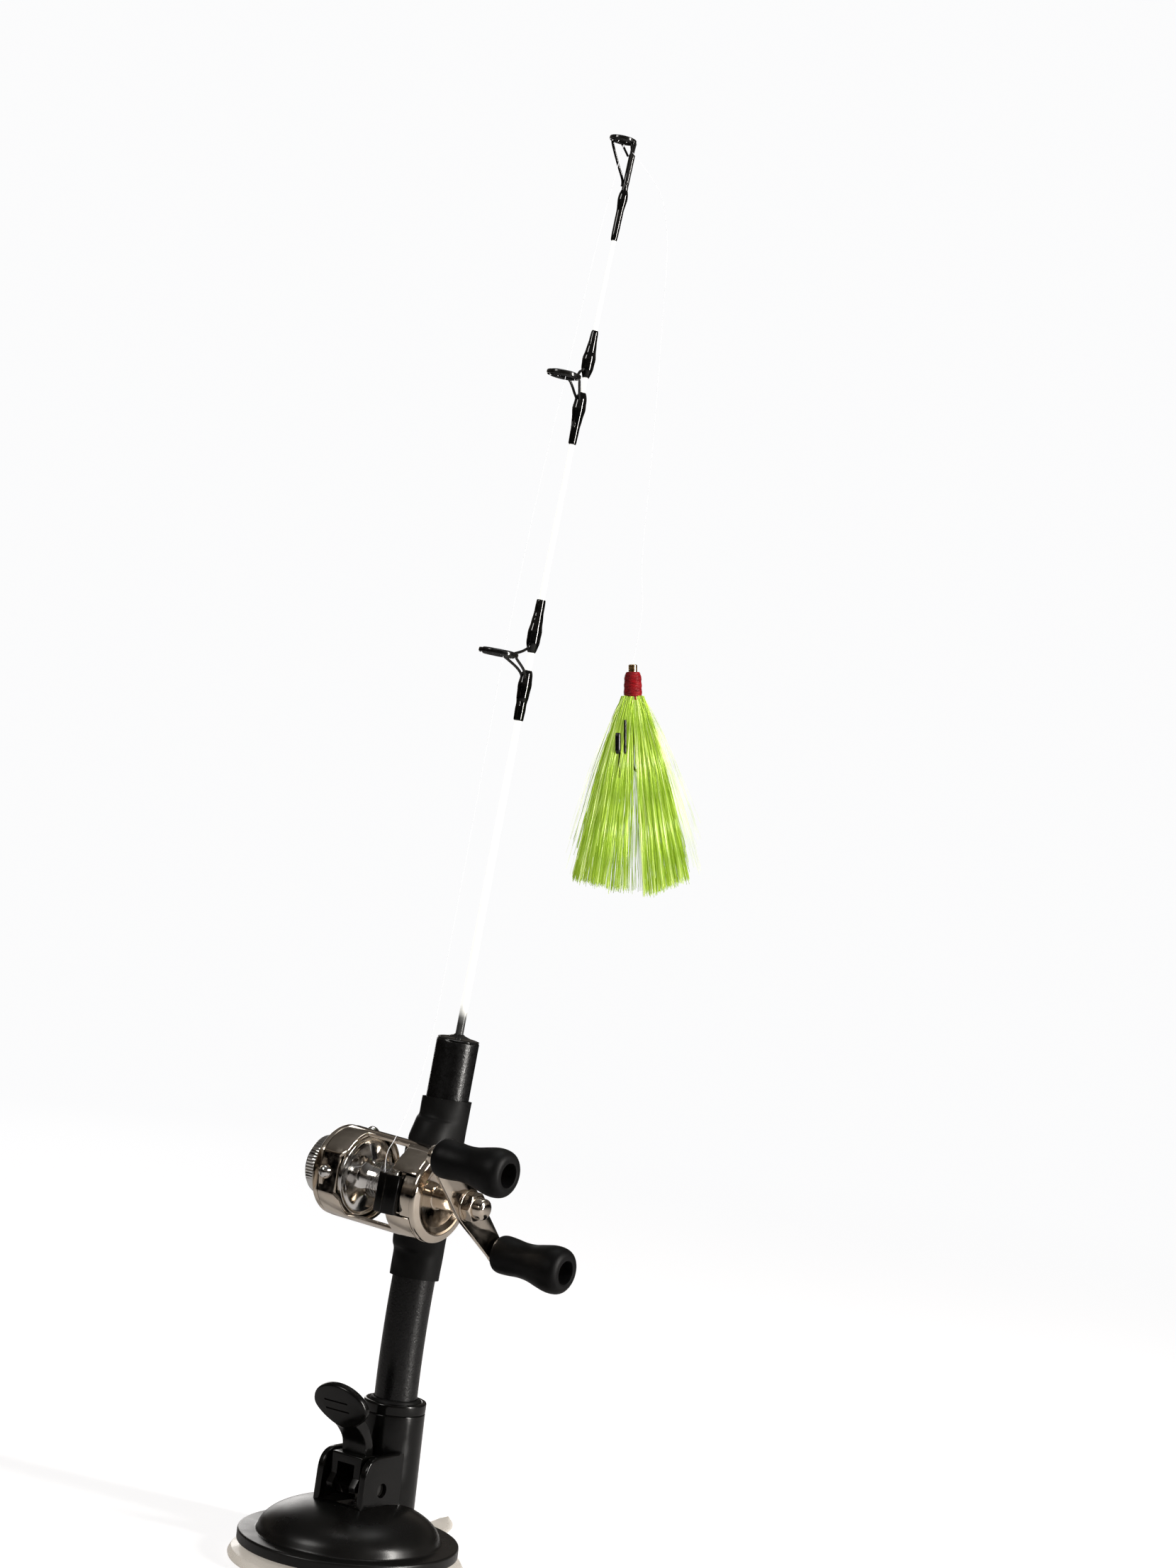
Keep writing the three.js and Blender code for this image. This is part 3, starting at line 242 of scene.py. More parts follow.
def combine(piece, others, operation="UNION", solver="MANIFOLD"):
    """Joins or cuts piece by the others, which are used up."""
    for other in others:
        change = piece.modifiers.new("combine", "BOOLEAN")
        change.operation = operation
        change.object = other
        change.solver = solver
    bpy.context.view_layer.update()
    result = bpy.data.meshes.new_from_object(piece.evaluated_get(bpy.context.evaluated_depsgraph_get()))
    piece.modifiers.clear()
    piece.data = result
    for other in others:
        bpy.data.objects.remove(other)
    return piece


def soften(piece, width, segments=2, degrees=30):
    """Rounds the edges that are sharper than an angle."""
    edge = piece.modifiers.new("edge", "BEVEL")
    edge.width = width
    edge.segments = segments
    edge.limit_method = "ANGLE"
    edge.angle_limit = math.radians(degrees)


def join(name, pieces):
    """One object from several, without joining their surfaces."""
    work = bmesh.new()
    for piece in pieces:
        work.from_mesh(piece.data)
        bpy.data.objects.remove(piece)
    mesh = bpy.data.meshes.new(name)
    work.to_mesh(mesh)
    work.free()
    result = bpy.data.objects.new(name, mesh)
    bpy.context.scene.collection.objects.link(result)
    return result


def place(piece, where, body, look, crease=38):
    """Puts a finished piece on its body with its material. It replaces the CAD node it is named after."""
    piece.data.transform(where)
    piece.data.shade_smooth()
    piece.data.set_sharp_from_angle(angle=math.radians(crease))
    piece.data.materials.clear()
    piece.data.materials.append(LOOKS[look][0])
    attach(piece, body)
    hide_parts(piece.name.split(".")[0])
    return piece


# ---------------------------------------------------------------- materials

def add_node(tree, kind, values=None, links=None, **settings):
    """A shader node with its settings, its inputs' values and the outputs that its inputs are linked to."""
    made = tree.nodes.new(f"ShaderNode{kind}")
    for name, value in settings.items():
        setattr(made, name, value)
    for key, value in (values or {}).items():
        made.inputs[key].default_value = value
    for key, source in (links or {}).items():
        tree.links.new(source, made.inputs[key])
    return made


def set_stops(ramp, stops):
    """Gives a colour ramp its (position, colour) stops, first to last."""
    elements = ramp.color_ramp.elements
    for k, (position, color) in ((0, stops[0]), (1, stops[-1])):
        elements[k].position = position
        elements[k].color = (*color, 1)
    for position, color in stops[1:-1]:
        elements.new(position).color = (*color, 1)


NOISE_LOW, NOISE_HIGH = 0.35, 0.65  # most of a noise texture's values lie between these


class Shader:
    """A Principled material with noise on its colour, roughness and surface. Scales are per metre."""

    def __init__(self, name, color, roughness, metallic=0.0, **inputs):
        self.material = bpy.data.materials.new(name)
        self.material.use_nodes = True
        self.tree = self.material.node_tree
        self.surface = self.tree.nodes["Principled BSDF"]
        self.place = self.node("TexCoord").outputs["Object"]
        self.color = color
        self.base = None
        self.normal = None
        values = {"Base Color": (*color, 1), "Roughness": roughness, "Metallic": metallic}
        values.update((key.replace("_", " "), value) for key, value in inputs.items())
        for key, value in values.items():
            self.surface.inputs[key].default_value = value

    def node(self, kind, values=None, links=None, **settings):
        return add_node(self.tree, kind, values, links, **settings)

    def drive(self, name, output):
        """Links an output to one of the surface's inputs."""
        self.tree.links.new(output, self.surface.inputs[name])

    def noise(self, scale, detail=4.0, stretch=None):
        place = self.place
        if stretch:
            place = self.node("Mapping", {"Scale": stretch}, {"Vector": place}).outputs["Vector"]
        return self.node("TexNoise", {"Scale": scale, "Detail": detail}, {"Vector": place}).outputs["Fac"]

    def ramp(self, value, low, high):
        """Spreads a noise between low and high."""
        ends = {"From Min": NOISE_LOW, "From Max": NOISE_HIGH, "To Min": low, "To Max": high}
        return self.node("MapRange", ends, {"Value": value}).outputs["Result"]

    def blend(self, share, first, second):
        """Mixes two colours. The first may be another node's output."""
        values = {"B": (*second, 1)}
        links = {"Factor": share}
        if isinstance(first, tuple):
            values["A"] = (*first, 1)
        else:
            links["A"] = first
        return self.node("Mix", values, links, data_type="RGBA").outputs["Result"]

    def mottle(self, scale, other, detail=4.0, stretch=None):
        """Varies the colour towards another one."""
        self.base = self.blend(self.ramp(self.noise(scale, detail, stretch), 0, 1), self.color, other)
        self.drive("Base Color", self.base)
        return self

    def smudge(self, scale, low, high, detail=5.0):
        """Varies the roughness."""
        self.drive("Roughness", self.ramp(self.noise(scale, detail), low, high))
        return self

    def bump(self, value, height, strength):
        """Adds relief of a height in metres."""
        links = {"Height": value}
        if self.normal:
            links["Normal"] = self.normal
        self.normal = self.node("Bump", {"Strength": strength, "Distance": height}, links).outputs["Normal"]
        self.drive("Normal", self.normal)
        return self


def look(name, slot, color, roughness, smudge, mottle, *relief, **inputs):
    """A material and its slot. Each relief is (noise, height, strength)."""
    shader = Shader(name, color, roughness, **inputs).smudge(*smudge).mottle(*mottle)
    for noise, height, strength in relief:
        shader.bump(shader.noise(*noise), height, strength)
    return shader.material, slot


def blank_glass():
    """White glass fibre with a painted glow that stands in for light coming through it from all round; it
    turns dark where it meets the handle.
    """
    shader = Shader("blank_glass", (0.8, 0.8, 0.77), 0.3, Emission_Strength=1)
    butt = shader.node("Attribute", attribute_name="butt").outputs["Fac"]
    # Painted glow: the emission colour, which goes dark at the butt.
    shader.drive("Emission Color", shader.blend(butt, (0.74, 0.735, 0.7), (0.012, 0.012, 0.012)))
    shader.mottle(180, (0.7, 0.7, 0.66), 3, (1, 1, 0.15)).smudge(300, 0.2, 0.36)
    shader.drive("Base Color", shader.blend(butt, shader.base, (0.03, 0.03, 0.03)))
    return shader.bump(shader.noise(900, 2, (1, 1, 0.1)), 0.00003, 0.3).material


def tinsel_hair():
    """Thin lime tinsel: light comes through it, so part of its colour is a painted glow; the ramp's
    near-white top stop is a painted highlight colour.
    """
    shader = Shader("tinsel_hair", (0.36, 0.5, 0.05), 0.4, Specular_IOR_Level=0.22, Emission_Strength=0.36)
    tone = shader.node("Attribute", attribute_name="tone").outputs["Fac"]
    lime = shader.node("ValToRGB", None, {"Fac": tone})
    # The ramp's last stop, near-white, is a painted highlight colour; the emission below repeats the ramp as
    # a painted glow.
    set_stops(lime, [(0, (0.16, 0.25, 0.012)), (0.42, (0.32, 0.47, 0.04)), (0.7, (0.48, 0.64, 0.1)),
                     (1, (0.84, 0.93, 0.42))])
    shader.drive("Base Color", lime.outputs["Color"])
    shader.drive("Emission Color", lime.outputs["Color"])
    return shader.smudge(900, 0.3, 0.55).bump(shader.noise(1500, 2, (1, 1, 0.1)), 0.00005, 0.4).material


LOOKS = {
    "dome": look("dome_plastic", "dome", (0.002, 0.002, 0.0019), 0.24, (90, 0.24, 0.34),
                 (60, (0.004, 0.0038, 0.0035)), ((1800, 3), 0.00003, 0.25), Specular_IOR_Level=0.3),
    "gloss": look("gloss_plastic", "holder", (0.0016, 0.0016, 0.0016), 0.14, (140, 0.12, 0.26),
                  (80, (0.003, 0.003, 0.0028)), ((260, 2), 0.00006, 0.3), Specular_IOR_Level=0.27),
    "handle": look("handle_plastic", "handle", (0.0012, 0.0012, 0.0013), 0.3, (900, 0.26, 0.34),
                   (500, (0.003, 0.003, 0.0032)), ((1500, 4), 0.00012, 0.55), Specular_IOR_Level=0.36),
    "shrink": look("shrink_rubber", "seal", (0.0022, 0.0022, 0.0022), 0.44, (120, 0.42, 0.58),
                   (90, (0.004, 0.004, 0.004)), ((130, 3), 0.0003, 0.3), ((2200, 3), 0.00003, 0.4),
                   Specular_IOR_Level=0.13),
    "knob": look("knob_rubber", "knob", (0.0018, 0.0018, 0.0019), 0.4, (160, 0.42, 0.56),
                 (220, (0.0035, 0.0035, 0.0037)), ((2400, 3), 0.00004, 0.4), Specular_IOR_Level=0.12),
    "nickel": look("nickel", "nickel", (0.66, 0.58, 0.49), 0.12, (420, 0.06, 0.18, 6),
                   (130, (0.76, 0.68, 0.58)), ((160, 2), 0.00012, 0.12), metallic=1.0),
    "chrome": look("chrome", "bright", (0.82, 0.81, 0.79), 0.06, (500, 0.03, 0.11),
                   (150, (0.76, 0.75, 0.73)), ((200, 2), 0.0001, 0.08), metallic=1.0),
    "spool": look("spool_metal", "spool", (0.8, 0.79, 0.77), 0.09, (380, 0.05, 0.18),
                  (110, (0.7, 0.68, 0.66)), ((240, 2), 0.0001, 0.1), metallic=1.0),
    "steel": look("steel", "steel", (0.42, 0.41, 0.4), 0.3, (600, 0.22, 0.42),
                  (300, (0.33, 0.32, 0.31)), ((900, 3), 0.00004, 0.3), metallic=1.0),
    "brass": look("brass", "brass", (0.66, 0.43, 0.2), 0.16, (700, 0.1, 0.26),
                  (260, (0.5, 0.31, 0.14)), ((500, 2), 0.00004, 0.2), metallic=1.0),
    "blank": (blank_glass(), "blank"),
    "glue": look("clear_glue", "clear", (0.012, 0.012, 0.012), 0.16, (320, 0.1, 0.3),
                 (240, (0.004, 0.004, 0.004)), ((420, 3), 0.0004, 0.5), Coat_Weight=0.3,
                 Specular_IOR_Level=0.25),
    "epoxy": look("epoxy", "epoxy", (0.0015, 0.0015, 0.0015), 0.05, (500, 0.03, 0.08),
                  (300, (0.003, 0.003, 0.003)), ((190, 2), 0.0002, 0.25), Specular_IOR_Level=0.5),
    "wire": look("guide_wire", "epoxy", (0.003, 0.003, 0.003), 0.14, (800, 0.1, 0.24),
                 (400, (0.008, 0.0076, 0.007)), ((1500, 2), 0.00003, 0.3)),
    "ceramic": look("ceramic", "ceramic", (0.004, 0.004, 0.0043), 0.05, (600, 0.03, 0.1),
                    (300, (0.008, 0.008, 0.0084)), ((700, 2), 0.00002, 0.2)),
    # The line's emission is a painted glow that lights it up though no lamp makes it shine.
    "line": look("nylon_line", "line", (0.8, 0.8, 0.81), 0.12, (400, 0.06, 0.2), (300, (0.7, 0.7, 0.71)),
                 ((800, 2), 0.00002, 0.2), Transmission_Weight=0.5, IOR=1.4,
                 Emission_Color=(0.6, 0.6, 0.61, 1), Emission_Strength=0.6),
    "wound": look("wound_line", "line", (0.5, 0.5, 0.5), 0.08, (400, 0.05, 0.15),
                  (300, (0.35, 0.34, 0.33)), ((800, 2), 0.00002, 0.2), metallic=0.6),
    # The pad's emission is a painted glow standing in for light that passes through the pad.
    "pad": look("soft_pad", "pad", (0.56, 0.53, 0.49), 0.3, (150, 0.22, 0.42), (70, (0.44, 0.41, 0.36)),
                ((160, 3), 0.0003, 0.3), Transmission_Weight=0.3, IOR=1.45,
                Emission_Color=(0.36, 0.335, 0.3, 1), Emission_Strength=0.6),
    "thread": look("tying_thread", "thread", (0.15, 0.0015, 0.004), 0.42, (600, 0.3, 0.6),
                   (500, (0.3, 0.004, 0.008), 4, (1, 1, 6)), ((1400, 3, (0.4, 0.4, 3)), 0.0003, 0.6),
                   Specular_IOR_Level=0.3),
    "hair": (tinsel_hair(), "hair"),
}

# ---------------------------------------------------------------- suction base

PAD_RADIUS = 34.4
FLANGE_RADIUS = 32.2
FLANGE_TOP = 8.0
DOME_RADIUS = 26.7
DOME_HEIGHT = 10.8
CHEEK_IN, CHEEK_OUT = 6.8, 9.0
SOCKET_Y = 15.1
SOCKET_RADIUS = 9.15
PIVOT = (1.6, 22.6)  # the lever's pivot in (y, z)
LINK = (4.54, 20.9)  # and its link to the stem


def build_pad():
    disc = lathe("suction_pad", rounded([
        (0, 0.02), (30, 0.02), (PAD_RADIUS - 0.3, 0.02, 0.3), (PAD_RADIUS, 0.8, 0.4),
        (PAD_RADIUS - 0.9, 2.4, 0.8),
        (28, 4.4, 2), (0, 4.4)]), 160)
    half = 4.6
    rows = []
    for i in range(17):
        t = i / 16
        y = 31 + 14 * t
        rise = 2.1 + 4.8 * t ** 1.8
        width = half * math.sqrt(max(0.02, 1 - max(0, (t - 0.68) / 0.32) ** 2))
        edge = 0.55 + (0.35 if t > 0.9 else 0)
        section = [(width * math.cos(a), edge * math.sin(a)) for a in turns(20)]
        rows.append([Vector((u + 0.16 * (y - 31), y, rise + v)) for u, v in section])
    tab = skin("tab", rows)
    place(join("suction_pad", [disc, tab]), BASE, "base", "pad")


def dome_height(radius):
    return FLANGE_TOP + DOME_HEIGHT * math.sqrt(max(0, 1 - (radius / DOME_RADIUS) ** 2))


def build_dome():
    fall = [math.radians(90 - i * 3.5) for i in range(25)]
    outer = [(DOME_RADIUS * math.cos(a), FLANGE_TOP + DOME_HEIGHT * math.sin(a)) for a in fall]
    foot = rounded([(DOME_RADIUS - 0.04, FLANGE_TOP + 0.8), (DOME_RADIUS + 0.3, FLANGE_TOP, 0.7),
                    (FLANGE_RADIUS, FLANGE_TOP, 0.7), (FLANGE_RADIUS, 4.8, 0.3), (DOME_RADIUS, 4.8)])
    inner = [(0, 16.8), (12, 15.6), (20, 12.6), (24.5, 8.0), (24.5, 4.8)]
    profile = [(0, FLANGE_TOP + DOME_HEIGHT)] + outer[1:-1] + foot + inner[::-1]
    dome = lathe("base_dome", profile, 160)
    slot = prism("slot", [(-CHEEK_IN, -6.6), (CHEEK_IN, -6.6), (CHEEK_IN, 8.3), (-CHEEK_IN, 8.3)], 12, 24, 0)
    place(combine(dome, [slot], "DIFFERENCE"), BASE, "base", "dome", 32)


def build_holder():
    side = rounded([(10.4, 8.5), (-7.6, 8.5), (-7.2, 20), (-6.5, 32.5, 7), (10.4, 32.5)], 14)
    cheeks = [turn(prism("cheek", side, low, low + CHEEK_OUT - CHEEK_IN, 0.45), ALONG_X)
              for low in (CHEEK_IN, -CHEEK_OUT)]
    post = turn(lathe("holder_body", rounded([
        (0, 9), (SOCKET_RADIUS, 9), (SOCKET_RADIUS, 42.72, 0.35), (6.8, 42.72, 0.2), (6.8, 29), (0, 29)]),
        96),
        shift(y=SOCKET_Y))
    web = prism("web", [(-CHEEK_OUT, 8.4), (CHEEK_OUT, 8.4), (CHEEK_OUT, 10.4), (-CHEEK_OUT, 10.4)], 9,
                32.5, 0)
    inside = lathe("inside", [(0, 0), (DOME_RADIUS + 6, 0), (DOME_RADIUS + 6, 4)] + [
        (r, dome_height(r) + 0.08) for r in (26.5, 25, 22, 19, 16, 13, 10, 7,
                                             4)] + [(0, dome_height(0) + 0.08)], 96)
    bore = turn(lathe("bore", [(0, 29), (6.8, 29), (6.8, 60), (0, 60)], 72), shift(y=SOCKET_Y))
    well = prism("well", [(-CHEEK_IN, -9), (CHEEK_IN, -9), (CHEEK_IN, 8.4), (-CHEEK_IN, 8.4)], 0, 27.4, 0)
    at_pivot = shift(y=PIVOT[0], z=PIVOT[1]) @ ALONG_X
    pin_hole = turn(lathe("pin_hole", [(0, -10), (2.1, -10), (2.1, 10), (0, 10)], 48), at_pivot)
    holder = combine(combine(post, cheeks + [web]), [inside, bore, well, pin_hole], "DIFFERENCE")
    soften(holder, 0.18, 2, 50)
    place(holder, BASE, "base", "gloss", 30)

    collar = turn(lathe("socket_collar", rounded([
        (7.7, 42.8), (SOCKET_RADIUS, 42.8, 0.25), (SOCKET_RADIUS + 0.1, 46, 0.7), (7.7, 46, 0.4)], 5, True),
        96, True), shift(y=SOCKET_Y))
    place(collar, BASE, "base", "gloss")
    seal = turn(lathe("socket_seal", rounded([
        (6.43, 42.9), (7.6, 42.9), (7.6, 45.9, 0.2), (7.2, 46.6, 0.4), (6.43, 46.8, 0.2)], 4, True), 96,
        True),
        shift(y=SOCKET_Y))
    place(seal, BASE, "base", "shrink")
    pin = lathe("pivot_pin", rounded([
        (0, -8), (1.9, -8, 0.3), (1.9, -7.5), (1.2, -7.5), (1.2, 7.5), (1.9, 7.5), (1.9, 8, 0.3), (0, 8)]),
        40)
    place(turn(pin, at_pivot), BASE, "base", "wire")


def build_lever():
    outer = 5.4
    leg_side = rounded([(-4.9, 32.1, 0.5), (-4.9, 25.8, 0.6), (-6.5, 23.3, 0.3), (-6.2, 21.9, 0.3),
                        (-4.8, 21.6, 0.3),
                        (-2.7, 22.4, 0.8), (-1, 19.9, 1), (0.4, 19.4, 0.5), (4.4, 18.8, 1.2), (6.7, 21, 1.6),
                        (3.2, 26, 2), (1.4, 32.1, 0.6)], 4, True)
    yoke = turn(prism("cam_lever", leg_side, -outer, outer, 0.35), ALONG_X)
    fork = prism("fork", [(-3.1, -9), (3.1, -9), (3.1, 9), (-3.1, 9)], 15, 29.5, 0)
    neck_front = smooth_profile([(-2.3, 29.5), (-2.1, 33.4), (-3, 36.4), (-5.6, 39.4), (-8.4, 41.4)], 5)
    neck_back = smooth_profile([(-5.2, 44.2), (-2.2, 41), (0.4, 37), (1.4, 33.6), (1.6, 29.5)], 5)
    neck = turn(prism("neck", neck_front + neck_back, -4.4, 4.4, 0.5), ALONG_X)

    half, height, thick = 9.6, 13.4, 2.5
    outline = []
    for i in range(64):
        angle = 2 * math.pi * i / 64 - math.pi / 2
        up = math.sin(angle)
        taper = 1 - 0.3 * max(0, -up) ** 1.5
        outline.append((half * math.cos(angle) * taper, height / 2 + (height / 2 + 0.6) * up))
    paddle = turn(prism("paddle", outline, 0, thick, 0.8, 4), ALONG_Y)
    grooves = []
    for k in range(2):
        slot = rounded([(-5.2, -0.3, 0.28), (3.4, -0.3, 0.28), (3.4, 0.3, 0.28), (-5.2, 0.3, 0.28)], 3, True)
        groove = turn(prism("groove", slot, -1, 0.3, 0), ALONG_Y)
        grooves.append(turn(groove, shift(z=5.6 + 2.9 * k)))
    paddle = combine(paddle, grooves, "DIFFERENCE")
    turn(paddle, shift(0, -8.1, 40.2) @ Matrix.Rotation(math.radians(26), 4, "X"))

    lever = combine(combine(yoke, [fork], "DIFFERENCE"), [neck, paddle])
    soften(lever, 0.2, 2, 40)
    place(lever, BASE, "lever", "gloss", 32)

    link = lathe("link_pin", rounded([(0, -5.3), (1, -5.3, 0.2), (1, 5.3, 0.2), (0, 5.3)]), 32)
    place(turn(link, shift(y=LINK[0], z=LINK[1]) @ ALONG_X), BASE, "lever", "steel")


# ---------------------------------------------------------------- handle and blank

HANDLE_RADIUS = 6.35
HANDLE_TOP = 107.1
HANDLE_BOTTOM = -16.7
BEND_LENGTH = 34.6
BLANK_TOP = 372.0
BLANK_FOOT = 92  # the blank starts inside the handle
BLANK_BUTT, BLANK_TIP = 1.2, 0.5  # radii
BLANK_SAG = 2.5
DARK_END, DARK_FADE = 11, 5  # the dark butt ends this far above the handle, and fades over this length
COLLAR_TOP = 46.0


def handle_ring(length, radius, sides, ripple=None):
    """A ring round the handle's centre line, in the holder's frame. Lengths start at the collar's top."""
    bend = BEND_LENGTH / LEAN_ANGLE
    turned = LEAN_ANGLE * min(max(length / BEND_LENGTH, 0), 1)
    beyond = max(length - BEND_LENGTH, 0)
    out = bend * (1 - math.cos(turned)) + beyond * math.sin(LEAN_ANGLE)
    up = bend * math.sin(turned) + beyond * math.cos(LEAN_ANGLE) + min(length, 0)
    centre = Vector((0, SOCKET_Y, COLLAR_TOP)) + LEAN_WAY * out + Vector((0, 0, up))
    rotation = Matrix.Rotation(turned, 3, LEAN_SIDE)
    ring = []
    for i in range(sides):
        angle = 2 * math.pi * i / sides
        lift = ripple(angle) if ripple else 0
        ring.append(centre + rotation @ Vector((radius * math.cos(angle), radius * math.sin(angle), lift)))
    return ring


def build_handle():
    sides = 80
    bends = [BEND_LENGTH * i / 10 for i in range(11)]

    def ragged(angle):
        return 0.18 * math.sin(3 * angle + 0.7) + 0.1 * math.sin(7 * angle)

    outer = [handle_ring(HANDLE_BOTTOM, HANDLE_RADIUS, sides)]
    outer += [handle_ring(s, HANDLE_RADIUS, sides) for s in bends]
    outer += [handle_ring(HANDLE_TOP - 0.6, HANDLE_RADIUS, sides)]
    outer += [handle_ring(HANDLE_TOP - 0.25, HANDLE_RADIUS - 0.02, sides, ragged)]
    outer += [handle_ring(HANDLE_TOP, HANDLE_RADIUS - 0.2, sides, ragged)]
    inner = [handle_ring(HANDLE_TOP - 0.05, HANDLE_RADIUS - 1.2, sides)]
    inner += [handle_ring(s, HANDLE_RADIUS - 1.3, sides) for s in reversed(bends)]
    inner += [handle_ring(HANDLE_BOTTOM, HANDLE_RADIUS - 1.3, sides)]
    place(skin("handle_tube", outer + inner, False), BASE, "rod", "handle")

    def uneven(angle, r, h):
        wave = 1 + 0.06 * math.sin(2 * angle + 1) + 0.04 * math.sin(5 * angle)
        return r * wave if 2 < r < 6 else r

    glue = lathe("handle_top_glue", smooth_profile([
        (1.36, HANDLE_TOP + 0.16), (3, HANDLE_TOP + 0.16), (6.1, HANDLE_TOP + 0.16), (5.6, HANDLE_TOP + 0.6),
        (3.6, HANDLE_TOP + 0.95), (2, HANDLE_TOP + 1.5), (1.36, HANDLE_TOP + 1.9)], 5), 72, True, uneven)
    place(glue, ROD, "rod", "glue")


def blank_radius(z):
    """It tapers evenly from the handle's top to the tip."""
    return BLANK_BUTT + (BLANK_TIP - BLANK_BUTT) * (z - HANDLE_TOP) / (BLANK_TOP - HANDLE_TOP)


def blank_centre(z):
    share = max(0, (z - HANDLE_TOP) / (BLANK_TOP - HANDLE_TOP))
    return LEAN_WAY * (BLANK_SAG * share ** 3) + Vector((0, 0, z))


def on_blank(z):
    """The matrix of a frame on the blank's centre line, its Z along the blank."""
    along = (blank_centre(z + 1) - blank_centre(z - 1)).normalized()
    turned = Vector((0, 0, 1)).rotation_difference(along).to_matrix().to_4x4()
    return ROD @ Matrix.Translation(blank_centre(z)) @ turned


def build_blank():
    rings = []
    darkness = []
    sides = 24
    count = 140
    for i in range(count + 1):
        z = BLANK_FOOT + (BLANK_TOP - BLANK_FOOT) * i / count
        r = blank_radius(z)
        rings.append([blank_centre(z) + Vector((r * math.cos(a), r * math.sin(a), 0)) for a in turns(sides)])
        dark = min(1, max(0, (HANDLE_TOP + DARK_END - z) / DARK_FADE))
        darkness += [dark * dark * (3 - 2 * dark)] * sides
    blank = skin("rod_blank", rings)
    attribute = blank.data.attributes.new("butt", "FLOAT", "POINT")
    attribute.data.foreach_set("value", darkness)
    place(blank, ROD, "rod", "blank")


# ---------------------------------------------------------------- line guides

LOW_GUIDE, MID_GUIDE, TIP_TOP = 221.0, 304.6, 376.2  # heights up the rod
FOOT_SPREAD = math.radians(30)


def guide_legs(ring_y, ring_radius, wire, bed):
    """The bent wires of a two-footed guide: one leg up to the upper wrap and two down to the lower."""
    side_x = ring_radius * math.sin(FOOT_SPREAD)
    side_y = ring_y + ring_radius * math.cos(FOOT_SPREAD)
    legs = [tube("leg", [(0, ring_y + ring_radius - 0.1, 0.2), (0, ring_y + ring_radius + 1.2, 0.7),
                         (0, -bed - 2.1, 2.6), (0, -bed, 5), (0, -bed, 13.4)], wire)]
    for side in (-1, 1):
        legs.append(tube("leg", [(side * side_x, side_y, -0.1), (side * (side_x - 0.8), side_y + 1.4, -0.6),
                                 (side * 0.95, -bed - 1.6, -3.4), (side * 0.42, -bed, -6.4),
                                 (side * 0.3, -bed, -13.6)], wire))
    return legs


def ring_band(radius, wall, half):
    return rounded([(radius - wall, -half, 0.2), (radius, -half, 0.3), (radius, half, 0.3),
                    (radius - wall, half, 0.2)], 4, True)


def build_wrap(name, where, stations, bore, seed):
    """A thread wrap drowned in epoxy: lumpy, thicker towards the foot, tight on the blank at its far end."""
    phase = random.Random(seed).uniform(0, 6)

    def lumpy(angle, r, h):
        if r < bore + 0.05:
            return r
        foot = 0.42 * max(0, r - 1.1) * max(0, -math.sin(angle)) ** 1.5
        return r - 0.1 * max(0, r - 1.1) + foot + 0.05 * max(0, r - 1.1) * math.sin(1.7 * h + phase)

    path = smooth_profile(stations, 7)
    inner = [(bore, p[1]) for p in (path[-1], path[0])]
    place(lathe(name, list(path) + inner, 40, True, lumpy), where, "rod", "epoxy")


def build_guide(label, z, ring_y, radius, wire, upper, lower):
    where = on_blank(z)
    bed = blank_radius(z) + wire + 0.2
    band = turn(lathe("band", ring_band(radius, 0.8, 0.62), 96, True), shift(y=ring_y))
    frame_piece = join(f"{label}_guide_frame", [band] + guide_legs(ring_y, radius, wire, bed))
    place(frame_piece, where, "rod", "wire")
    insert = lathe(f"{label}_guide_ring", [
        (radius - 1.42 + 0.58 * math.cos(a), 0.95 * math.sin(a)) for a in turns(24)], 96, True)
    place(turn(insert, shift(y=ring_y)), where, "rod", "ceramic")
    bore = blank_radius(z) + 0.08
    build_wrap(f"{label}_guide_upper_wrap", where, upper, bore, label + "up")
    build_wrap(f"{label}_guide_lower_wrap", where, lower, bore, label + "low")


def build_guides():
    build_guide("low", LOW_GUIDE, -15.9, 5.9, 0.42,
                [(1.1, 2.4), (1.5, 3.2), (1.95, 5.4), (2.08, 8), (1.8, 11), (1.5, 14.2), (1.42, 16.6),
                 (1.36, 18),
                 (1.2, 18.3)],
                [(1.2, -2.9), (1.55, -3.6), (1.9, -5.4), (2.02, -8), (1.8, -11), (1.62, -12.6), (1.6, -14.6),
                 (1.55, -17), (1.45, -17.8), (1.2, -18)])
    build_guide("mid", MID_GUIDE, -10.8, 5.1, 0.4,
                [(1.0, 1.6), (1.25, 2.3), (1.75, 4.2), (1.95, 6.8), (1.6, 9.6), (1.25, 12.4), (1.08, 15),
                 (0.9, 15.8)],
                [(1.0, -2.9), (1.4, -3.7), (1.8, -5.5), (1.95, -8), (1.6, -11), (1.38, -13), (1.3, -15),
                 (1.2, -18), (0.95, -18.5)])


